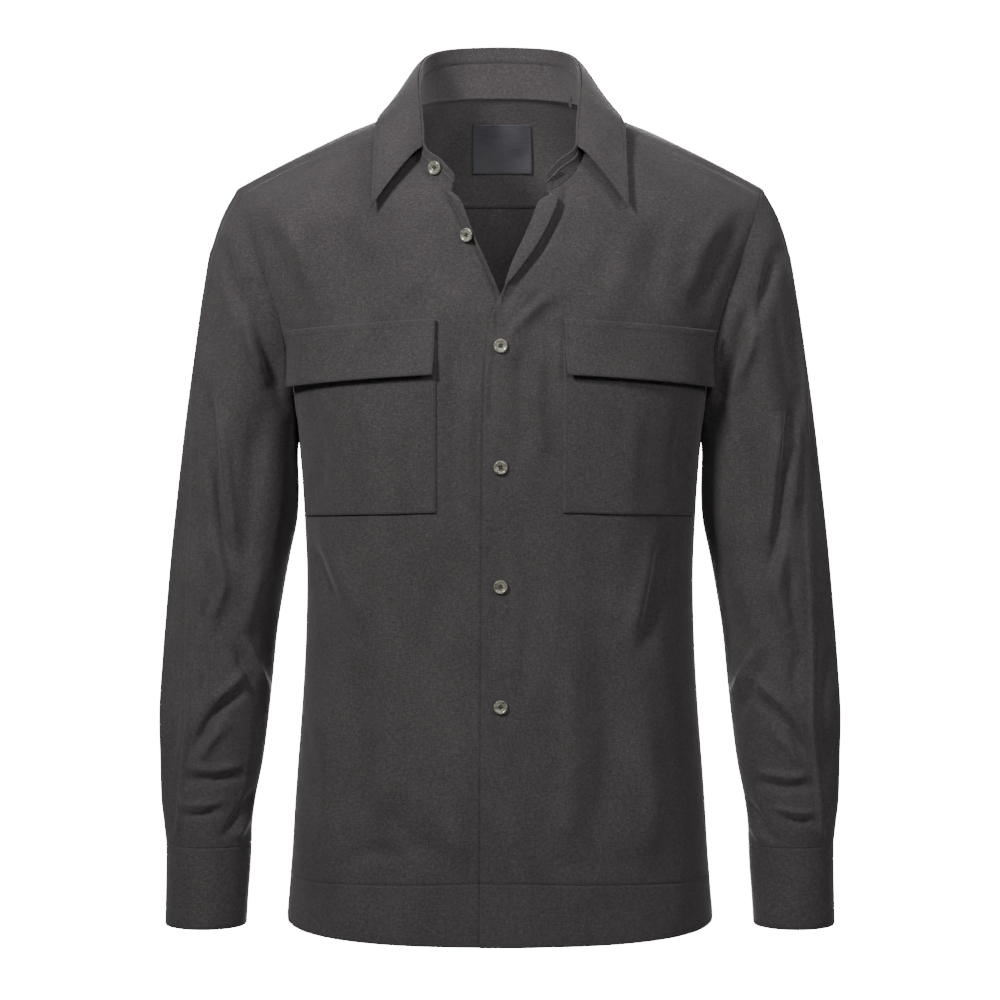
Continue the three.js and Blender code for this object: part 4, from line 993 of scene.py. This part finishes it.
def flannel_material():
    """Brushed wool in mixed yarns: slubs along and across, soft clouds and a nap."""
    surface = Surface("flannel", Roughness=0.92, Specular_IOR_Level=0.12, Sheen_Weight=0.16,
                      Sheen_Roughness=0.45, Sheen_Tint=(0.8, 0.76, 0.76, 1))
    weft = surface.noise((260, 260, 900), 3.0, 0.6)
    warp = surface.noise((900, 900, 240), 3.0, 0.6)
    speck = surface.noise((620, 620, 620), 2.0, 0.7)
    cloud = surface.noise((30, 30, 18), 3.0, 0.55)
    yarn = surface.mixed((weft, 0.30), (warp, 0.24), (speck, 0.30), (cloud, 0.16))
    fuzz = surface.noise((1700, 1700, 1700), 2.0, 0.7)
    bump = surface.nodes.new("ShaderNodeBump")
    bump.inputs["Strength"].default_value = 0.20
    bump.inputs["Distance"].default_value = 0.0005
    surface.link(surface.math("ADD", yarn, surface.math("MULTIPLY", fuzz, 0.35)), bump.inputs["Height"])
    surface.link(bump.outputs["Normal"], surface.shader.inputs["Normal"])
    return surface.paint(yarn, YARNS)


def button_material():
    """Polished shell: olive grey with paler and darker veins."""
    surface = Surface("shell_button", Roughness=0.28, Coat_Weight=0.35, Coat_Roughness=0.12)
    stops = ((0.32, (0.055, 0.052, 0.038)), (0.5, (0.13, 0.124, 0.097)), (0.7, (0.24, 0.23, 0.19)))
    return surface.paint(surface.noise((180, 180, 420), 4.0, 0.6), stops)


def thread_material(name, colour):
    surface = Surface(name, Roughness=0.75)
    dark = tuple(c * 0.6 for c in colour)
    return surface.paint(surface.noise((1600, 1600, 1600), 2.0, 0.6), ((0.35, dark), (0.65, colour)))


def label_material():
    """Plain woven satin, a little blue, with fine lines across."""
    surface = Surface("label_satin", Roughness=0.66, Specular_IOR_Level=0.25)
    stops = ((0.35, (0.030, 0.0295, 0.0345)), (0.65, (0.041, 0.040, 0.047)))
    return surface.paint(surface.noise((90, 90, 2600), 2.0, 0.5), stops)


FLANNEL = flannel_material()
SHELL = button_material()
THREAD = thread_material("thread_dark", (0.030, 0.027, 0.026))
SEWING = thread_material("thread_cloth", (0.036, 0.032, 0.033))
SATIN = label_material()
# Near-black painted shade, standing in for the shadow inside each buttonhole's cut
SLIT_SHADE = thread_material("slit_painted_shade", (0.006, 0.0055, 0.0055))


def build_front(side, sign):
    grid = refine(front_grid(sign > 0))
    rows, columns = (np.arange(size)[::-1] for size in grid.shape[:2])
    sewn = smooth_all(columns, 0, FADE_STEPS)[None, :] * smooth_all(rows, 0, FADE_STEPS)[:, None]
    fade = np.where(grid[..., 2] < EDGE[1]["z"], sewn, edge_fade(grid.shape))
    grid = creased(grid, FRONT_STROKES + EDGE_STROKES, from_axis, fade=fade)
    piece = cloth("front_panel_" + side, grid, WALL, FLANNEL, sunk=("top", "bottom", "end"))
    dress(piece, "front_" + side)
    return grid


def build_back():
    grid = refine(back_grid())
    grid = creased(grid, BACK_STROKES, from_axis, from_behind=True, fade=edge_fade(grid.shape))
    piece = cloth("back_panel", grid, WALL, FLANNEL, sunk=("top", "bottom", "start", "end"))
    dress(piece, "back")
    return grid


def build_yoke():
    grid = refine(yoke_grid(), 5, 5)
    piece = cloth("yoke_panel", grid, WALL, FLANNEL, upward, sunk=("top", "bottom", "start", "end"),
                  under={"end": (3.0, 1.4)})
    dress(piece, "yoke")
    return grid


def build_sleeve(side, sign):
    grid = refine(sleeve_grid(sign), 14, 5, ring=True)
    front, back = SLEEVE_FRONT_STROKES, SLEEVE_BACK_STROKES
    if sign > 0:
        front, back = mirrored(front), mirrored(back)
    rows = np.arange(len(grid))
    fade = smooth_all(rows, 0, 22)[:, None] * smooth_all(rows[::-1], 0, 8)[:, None]
    grid = creased(grid, front, from_sleeve, True, fade=fade)
    grid = creased(grid, back, from_sleeve, True, from_behind=True, fade=fade)
    piece = cloth("sleeve_tube_" + side, grid, WALL, FLANNEL, from_sleeve, True, ("top", "bottom"),
                  under={"top": (4.0, 2.4)})
    dress(piece, "sleeve_" + side)
    return grid


def build_cuff(side, sign):
    grid = refine(cuff_grid(sign), 5, 4)
    piece = cloth("cuff_band_" + side, grid, DOUBLE_WALL, FLANNEL, from_sleeve, sunk=("top",))
    dress(piece, "cuff_" + side)
    return grid


def build_placket(side, sign):
    rows = []
    for i in range(6):
        z = lerp(PLACKET["top"], PLACKET["bottom"], i / 5)
        row = {key: lookup(SLEEVE, "oz", z, key) for key in ("ox", "ix", "front", "back", "mid")}
        row.update(oz=z, iz=z)
        middle = section_middle(row, sign)
        half = PLACKET["half"] / row["back"]
        line = []
        for angle in (PLACKET["at"] - half, PLACKET["at"], PLACKET["at"] + half):
            p = section_point(row, angle, sign)
            rise = float(sleeve_fade(np.float64(z)) * fold_height(SLEEVE_FOLDS, angle, np.float64(z)))
            line.append(p + (p - middle).normalized() * (WALL + 2 * LAY_GAP + rise))
        rows.append(line)
    grid = refine(rows, 6, 4)
    piece = cloth("placket_strip_" + side, grid, WALL, FLANNEL, from_sleeve)
    dress(piece, "sleeve_placket_" + side)
    return grid


def rolled_top(grid):
    """The upper quarter of the stand stands proud inside, past a sewn groove."""
    level = np.linspace(0, 1, len(grid))[:, None]
    rise = BAND_ROLL * smooth_all(level, 0.73, 0.78) - BAND_GROOVE * np.exp(-((level - 0.72) / 0.03) ** 2)
    out = grid.copy()
    out[..., :3] -= grid_normals(grid, outward=from_axis) * rise[..., None]
    out[..., 2] += BAND_TUCK * smooth_all(level, 0.8, 1)
    return out


def build_collar():
    stand = rolled_top(refine(stand_grid(), 12, 5))
    piece = cloth("collar_band", stand, DOUBLE_WALL, FLANNEL, sunk=("top",))
    dress(piece, "collar_stand")
    leaf = refine(leaf_grid(), 6, 5)
    piece = cloth("collar_fall", leaf, LEAF_WALL, FLANNEL, upward)
    dress(piece, "collar_leaf")
    return leaf


def build_pocket(side, sign):
    grid = refine(patch_grid(sign, POCKET, POCKET_GAP + WALL, 7, 9), 9, 9)
    grid = creased(grid, FRONT_STROKES, from_axis)
    beside = (0.4, 1.2)
    piece = cloth("pocket_patch_" + side, grid, WALL, FLANNEL, sunk=("start", "end"), near=1.6,
                  under={"start": beside, "end": beside})
    dress(piece, "pocket_" + side)
    out = POCKET_GAP + LAY_GAP + WALL + FLAP_WALL
    flap = refine(patch_grid(sign, FLAP, out, 4, 9, FLAP_FLARE), 8, 9)
    flap = creased(flap, FRONT_STROKES, from_axis)
    piece = cloth("flap_patch_" + side, flap, FLAP_WALL, FLANNEL, near=1.6)
    dress(piece, "pocket_flap_" + side)
    return grid, flap


def build_hem():
    grids = {}
    for side in ("left", "right", "back"):
        grid = refine(hem_back_grid() if side == "back" else hem_front_grid(side == "left"))
        sunk = ("top", "start", "end") if side == "back" else ("top", "end")
        piece = cloth("hem_strip_" + side, grid, HEM_WALL, FLANNEL, sunk=sunk)
        dress(piece, "hem_band_" + side)
        grids[side] = grid
    return grids


def circle(radius, height, count, x=0.0, y=0.0):
    turns = [2 * math.pi * k / count for k in range(count)]
    return [(x + radius * math.cos(turn), y + radius * math.sin(turn), height) for turn in turns]


def add_tube(spots, faces, rings):
    """A closed tube through rings of points, added to lists of points and faces."""
    first = len(spots)
    count = len(rings[0])
    for ring in rings:
        spots.extend(ring)
    for i in range(len(rings) - 1):
        for k in range(count):
            a = first + i * count + k
            b = first + i * count + (k + 1) % count
            faces.append((a, b, b + count, a + count))
    last = first + (len(rings) - 1) * count
    faces.append(tuple(range(first, first + count))[::-1])
    faces.append(tuple(range(last, last + count)))


# A button's section: radius and height, from the back round the rim to the dished face
BUTTON_PROFILE = (
    (4.9, 0.0), (5.6, 0.3), (6.0, 0.9), (6.0, 1.7), (5.75, 2.3), (5.3, 2.6), (4.8, 2.55), (4.3, 2.2),
    (3.8, 1.95), (2.6, 1.8),
)


def button_template():
    """One button with a rim, a dished face and four holes, worked out round its own axis."""
    spots = []
    faces = []
    add_tube(spots, faces, [circle(r, h, 48) for r, h in BUTTON_PROFILE])
    disc = make_piece("button_template", spots, faces, SHELL)
    hole_spots = []
    hole_faces = []
    for corner in range(4):
        angle = math.pi / 4 + corner * math.pi / 2
        x = HOLE_OUT * math.cos(angle)
        y = HOLE_OUT * math.sin(angle)
        add_tube(hole_spots, hole_faces, [circle(HOLE_R, h, 16, x, y) for h in (-1, 4)])
    cutter = make_piece("button_cutter", hole_spots, hole_faces, SHELL)
    cut = disc.modifiers.new("holes", "BOOLEAN")
    cut.object = cutter
    cut.operation = "DIFFERENCE"
    cut.solver = "EXACT"
    bpy.context.view_layer.update()
    result = bpy.data.meshes.new_from_object(disc.evaluated_get(bpy.context.evaluated_depsgraph_get()))
    bpy.data.objects.remove(disc)
    bpy.data.objects.remove(cutter)
    for polygon in result.polygons:
        polygon.use_smooth = True
    return result


def turned_mesh(mesh, name, place, direction, spin):
    """A copy of a button mesh with its points moved to where the button sits."""
    copy = mesh.copy()
    copy.name = name
    rotation = Vector((0, 0, 1)).rotation_difference(direction).to_matrix()
    c = math.cos(spin)
    s = math.sin(spin)
    for vertex in copy.vertices:
        x, y, z = vertex.co
        vertex.co = rotation @ Vector((c * x - s * y, s * x + c * y, z)) + place * MM
    copy.update()
    piece = bpy.data.objects.new(name, copy)
    bpy.context.scene.collection.objects.link(piece)
    return piece


def capsule(spots, faces, a, b, radius, up, sides=6):
    """A short rounded thread from a to b, added to lists of points and faces."""
    axis = b - a
    length = axis.length
    axis = axis / length
    side = axis.cross(up).normalized()
    rise = side.cross(axis)
    turns = [2 * math.pi * k / sides for k in range(sides)]
    rings = []
    for along, wide in ((0.0, 0.35), (0.12, 0.85), (0.5, 1.0), (0.88, 0.85), (1.0, 0.35)):
        p = a + axis * (length * along)
        rings.append([p + (side * math.cos(t) + rise * math.sin(t)) * radius * wide for t in turns])
    add_tube(spots, faces, rings)


def button_thread(name, place, direction, spin):
    """Crossed threads through the four holes."""
    spots = []
    faces = []
    rotation = Vector((0, 0, 1)).rotation_difference(direction).to_matrix()
    for lean in (0, math.pi / 2):
        angle = math.pi / 4 + lean + spin
        for shift in (-0.22, 0.22):
            side = Vector((-math.sin(angle), math.cos(angle), 0)) * shift
            reach = Vector((math.cos(angle), math.sin(angle), 0)) * 1.5
            low = Vector((0, 0, 1.95 + 0.2 * lean / 2))
            a = place + rotation @ (low - reach + side)
            b = place + rotation @ (low + reach + side)
            capsule(spots, faces, a, b, 0.3, direction)
    threads_piece(name, spots, faces, THREAD)


def build_buttons():
    template = button_template()
    places = {}
    for i, z in enumerate(BUTTON_HEIGHTS):
        base = skin(BUTTON_X, z, -1)
        direction = normal_at(base)
        gap = -LAY_GAP if i == 0 else LAY_GAP
        places["button_front_%d" % (i + 1)] = (base + direction * (OVERLAP_LIFT + gap), direction, 0.2 * i)
    free, middle, turn = front_edge(OPEN_BUTTON["z"], False)
    direction = Vector((0, 0, 1)).cross(free - turn).normalized()
    direction *= -math.copysign(1, direction.y)
    places["button_open"] = (middle + direction * OPEN_BUTTON["gap"], direction, 0.5)
    low, high = (neck_point(STAND_BUTTON["at"], kind, -1) for kind in "st")
    base = low.lerp(high, STAND_BUTTON["level"])
    direction = Vector((base.x, base.y, 0)).normalized()
    places["button_stand"] = (base - direction * STAND_BUTTON["sunk"], direction, 0.3)
    for side, sign in SIDES:
        base = section_point(CUFF[2], CUFF_START_ANGLE + CUFF_BUTTON_TURN, sign)
        direction = base - section_middle(CUFF[2], sign)
        direction.z = 0
        direction.normalize()
        places["button_cuff_" + side] = (base + direction * (DOUBLE_WALL + 3 * LAY_GAP), direction, 0.4)
    for node, (place, direction, spin) in places.items():
        piece = turned_mesh(template, node.replace("button", "shell_button"), place, direction, spin)
        dress(piece, node)
        button_thread(node.replace("button", "button_thread"), place, direction, spin)


def point_rows_at(grid, edge, distance):
    """Points on a grid at a distance from one of its edges."""
    g = grid[..., :3]
    if edge in ("start", "end"):
        g = g.swapaxes(0, 1)
    if edge in ("bottom", "end"):
        g = g[::-1]
    steps = np.linalg.norm(np.diff(g, axis=0), axis=-1)
    reach = np.concatenate([np.zeros((1, g.shape[1])), np.cumsum(steps, axis=0)])
    line = []
    for j in range(g.shape[1]):
        i = int(np.searchsorted(reach[:, j], distance)) or 1
        i = min(i, len(g) - 1)
        t = (distance - reach[i - 1, j]) / max(reach[i, j] - reach[i - 1, j], 1e-6)
        line.append(g[i - 1, j] + (g[i, j] - g[i - 1, j]) * t)
    return np.array(line)


def stitch_line(spots, faces, grid, edge, distance, outward, ring=False, skip=0.0, pitch=3.0, length=2.1):
    """A row of stitches at a distance from an edge, resting in the cloth."""
    line = point_rows_at(grid, edge, distance)
    n = grid_normals(grid, ring, outward)
    if edge in ("start", "end"):
        n = n.swapaxes(0, 1)
    n = n[-2 if edge in ("bottom", "end") else 1]
    if ring:
        line = np.concatenate([line, line[:1]])
        n = np.concatenate([n, n[:1]])
    steps = np.linalg.norm(np.diff(line, axis=0), axis=-1)
    reach = np.concatenate([[0], np.cumsum(steps)])
    place = skip
    while place + length < reach[-1] - skip:
        ends = [Vector([np.interp(q, reach, line[:, k]) for k in range(3)]) for q in (place, place + length)]
        up = Vector([np.interp(place, reach, n[:, k]) for k in range(3)]).normalized()
        capsule(spots, faces, ends[0] + up * 0.06, ends[1] + up * 0.06, 0.27, up, 5)
        place += pitch


def threads_piece(name, spots, faces, material):
    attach(make_piece(name, spots, faces, material), "root")


def build_stitches(name, jobs, material):
    spots = []
    faces = []
    for job in jobs:
        stitch_line(spots, faces, *job)
    threads_piece(name, spots, faces, material)


def sew():
    """Rows of stitches along the seams and edges."""
    round_patch = ("start", "end", "bottom")
    lines = []
    for side, sign in SIDES:
        pocket, flap = pockets[side]
        lines += [(pocket, edge, 2.0, from_axis) for edge in round_patch]
        lines += [(flap, edge, 2.0, from_axis) for edge in round_patch]
        lines.append((flap, "top", 5.0, from_axis))
        lines.append((fronts[side], "bottom", 2.2, from_axis))
        lines.append((fronts[side], "top", 2.2, from_axis))
        lines.append((hems[side], "bottom", 3.0, from_axis))
        lines += [(cuffs[side], edge, gap, from_sleeve) for edge, gap in (("top", 2.2), ("bottom", 3.0))]
        lines += [(plackets[side], edge, 1.8, from_sleeve) for edge in ("start", "end", "top")]
    lines.append((hems["back"], "bottom", 3.0, from_axis))
    lines.append((back_cloth, "bottom", 2.2, from_axis))
    lines.append((yoke_cloth, "end", 2.2, upward))
    lines += [(leaf_cloth, edge, 5.0, upward) for edge in ("bottom", "start", "end")]
    build_stitches("stitches_cloth", lines, SEWING)
    edges = [(label_cloth, edge, 1.3, frontward) for edge in ("start", "end", "top", "bottom")]
    build_stitches("stitches_label", edges, THREAD)


def buttonhole(name, centre, along, up, length=15.0):
    """A worked buttonhole: close stitches across both sides of a slit, with painted shade in the slit as a
    near-black thread.
    """
    spots = []
    faces = []
    along = along.normalized()
    up = (up - along * up.dot(along)).normalized()
    across = up.cross(along)
    count = 24
    for k in range(count + 1):
        spot = centre + along * length * (k / count - 0.5)
        for side in (-1, 1):
            capsule(spots, faces, spot + across * side * 0.35, spot + across * side * 1.5, 0.34, up, 5)
    for end in (-1, 1):
        tip = centre + along * end * (length / 2 + 0.3)
        capsule(spots, faces, tip - across * 1.6, tip + across * 1.6, 0.4, up, 5)
    threads_piece(name, spots, faces, SEWING)
    # A near-black capsule along the cut: painted shade where the opening lies in shadow
    slit_spots = []
    slit_faces = []
    half = along * (length / 2 - 0.5)
    capsule(slit_spots, slit_faces, centre - half, centre + half, 0.42, up, 6)
    threads_piece(name + "_slit", slit_spots, slit_faces, SLIT_SHADE)


def work_buttonholes():
    free, middle, turn = front_edge(STRIP_HOLE["z"], True)
    along = front_edge(STRIP_HOLE["below"], True)[1] - middle
    up = (free - turn).cross(along).normalized()
    up *= -math.copysign(1, up.y)
    buttonhole("buttonhole_strip", middle + up * STRIP_HOLE["out"], along, up)
    low, high = (neck_point(STAND_HOLE["at"], kind, 1) for kind in "st")
    up = Vector((low.x, low.y, 0)).normalized()
    along = neck_point(STAND_HOLE["after"], "s", 1) - neck_point(STAND_HOLE["before"], "s", 1)
    centre = low.lerp(high, STAND_HOLE["level"]) - up * STAND_HOLE["sunk"]
    buttonhole("buttonhole_stand", centre, along, up, STAND_HOLE["length"])


def yoke_inside_y(x, z):
    best = 0.0
    nearest = 1e9
    for line in yoke_grid()[SHOULDER_STEPS:-SHOULDER_STEPS]:
        for a, b in zip(line[:-1], line[1:]):
            for m in range(5):
                p = a.lerp(b, m / 4)
                far = math.hypot(p.x - x, p.z - z)
                if far < nearest:
                    nearest = far
                    best = p.y
    return best - WALL - 1


def build_label():
    rows = []
    for i in range(4):
        z = LABEL["top"] - LABEL["height"] * i / 3
        row = []
        for j in range(5):
            x = LABEL["middle"] + LABEL["width"] * (j / 4 - 0.5)
            row.append((x, yoke_inside_y(x, z) - LABEL["gap"], z))
        rows.append(row)
    grid = refine(rows, 8, 8)
    piece = cloth("neck_label_patch", grid, LABEL_WALL, SATIN, frontward, near=0.8)
    dress(piece, "neck_label")
    return grid


def build_tab():
    seam = neck_point(TAB["at"], "s", 1)
    away = Vector((seam.x, seam.y, 0)).normalized()
    along = Vector((-away.y, away.x, 0))
    rows = []
    for i in range(5):
        inside = TAB["inside"] + TAB["belly"] * math.sin(math.pi * i / 4)
        row = []
        for j in range(3):
            p = seam - away * inside + along * (j / 2 - 0.5) * TAB["width"]
            p.z = seam.z + TAB["rise"] - TAB["reach"] * i / 4
            row.append(p)
        rows.append(row)
    piece = cloth("neck_tab_strip", refine(rows, 4, 3), LABEL_WALL, SATIN, to_axis, near=0.5)
    dress(piece, "neck_tab")


def both_sides(build):
    return {side: build(side, sign) for side, sign in SIDES}


fronts = both_sides(build_front)
back_cloth = build_back()
yoke_cloth = build_yoke()
both_sides(build_sleeve)
cuffs = both_sides(build_cuff)
plackets = both_sides(build_placket)
leaf_cloth = build_collar()
pockets = both_sides(build_pocket)
hems = build_hem()
build_buttons()
label_cloth = build_label()
build_tab()
sew()
work_buttonholes()


# Floor and backdrop, in metres
FLOOR_Z = -1.46
FLOOR_FRONT_Y = -5
FLOOR_HALF = 6
BACKDROP_Y = 4.4
BACKDROP_TOP = 3.5
BEND_R = 1.2
BEND_STEPS = 8

# Lights: name, place, what it points at, width, power and spread in degrees
CHEST = (0, 0, -0.3)
SHOULDERS = (0, 0, 0.02)
LIGHTS = (
    ("key", (-1.45, -1.9, 1.2), SHOULDERS, 0.5, 20, 80),
    ("right_box", (1.9, -1.7, 0.8), SHOULDERS, 0.6, 7.5, 95),
    ("front", (0.5, -2.8, 1.0), SHOULDERS, 0.6, 5.5, 80),
    ("top", (0.1, -0.3, 1.9), CHEST, 0.7, 14, 180),
    ("neck_fill", (0, -0.055, -0.03), (0, 0.1, -0.06), 0.06, 0.13, 150),
)
WORLD_LIGHT = 0.08


def studio_surface():
    """Pale paper that glows white where it stands behind the part."""
    surface = Surface("studio_paper", Roughness=0.9, Emission_Strength=18.0)
    split = surface.nodes.new("ShaderNodeSeparateXYZ")
    surface.link(surface.coords, split.inputs["Vector"])
    far = surface.math("MULTIPLY", split.outputs["Y"], 0.25)
    behind = surface.ramp(far, ((0.5, (0, 0, 0)), (0.75, (1, 1, 1))))
    aside = surface.math("MULTIPLY", surface.math("ABSOLUTE", split.outputs["X"], 0), 0.5)
    middle = surface.ramp(aside, ((0.56, (1, 1, 1)), (0.68, (0, 0, 0))))
    surface.link(surface.math("MULTIPLY", behind, middle), surface.shader.inputs["Emission Color"])
    return surface.paint(surface.noise((3, 3, 3), 2.0, 0.5), ((0.3, (0.33,) * 3), (0.7, (0.36,) * 3)))


def build_stage():
    """A floor that curves up into a backdrop."""
    profile = [(FLOOR_FRONT_Y, FLOOR_Z), (BACKDROP_Y - BEND_R, FLOOR_Z)]
    for k in range(1, BEND_STEPS + 1):
        angle = math.pi / 2 * k / BEND_STEPS
        y = BACKDROP_Y - BEND_R + BEND_R * math.sin(angle)
        profile.append((y, FLOOR_Z + BEND_R * (1 - math.cos(angle))))
    profile.append((BACKDROP_Y, BACKDROP_TOP))
    spots = [(x, y, z) for y, z in profile for x in (-FLOOR_HALF, FLOOR_HALF)]
    faces = [(2 * i, 2 * i + 1, 2 * i + 3, 2 * i + 2) for i in range(len(profile) - 1)]
    paper = make_piece("studio_floor", np.array(spots) / MM, faces, studio_surface())


def add_light(name, place, target, size, power, spread):
    data = bpy.data.lights.new(name, "AREA")
    data.shape = "SQUARE"
    data.size = size
    data.energy = power
    data.spread = math.radians(spread)
    light = bpy.data.objects.new(name, data)
    light.location = place
    light.rotation_euler = (Vector(target) - Vector(place)).to_track_quat("-Z", "Y").to_euler()
    bpy.context.scene.collection.objects.link(light)


def build_lights():
    world = bpy.data.worlds.new("studio")
    world.use_nodes = True
    background = world.node_tree.nodes["Background"]
    background.inputs["Color"].default_value = (1, 1, 1, 1)
    background.inputs["Strength"].default_value = WORLD_LIGHT
    bpy.context.scene.world = world
    for light in LIGHTS:
        add_light(*light)


def build_camera():
    data = bpy.data.cameras.new("camera")
    data.sensor_fit = "HORIZONTAL"
    data.sensor_width = 36
    data.lens = data.sensor_width * FOCAL / PICTURE
    data.clip_end = 50
    camera = bpy.data.objects.new("camera", data)
    camera.location = (0.0, -CAMERA_AWAY * MM, CAMERA_Z * MM)
    camera.rotation_euler = (math.pi / 2 - CAMERA_DOWN, 0, 0)
    bpy.context.scene.collection.objects.link(camera)
    bpy.context.scene.camera = camera


build_stage()
build_lights()
build_camera()
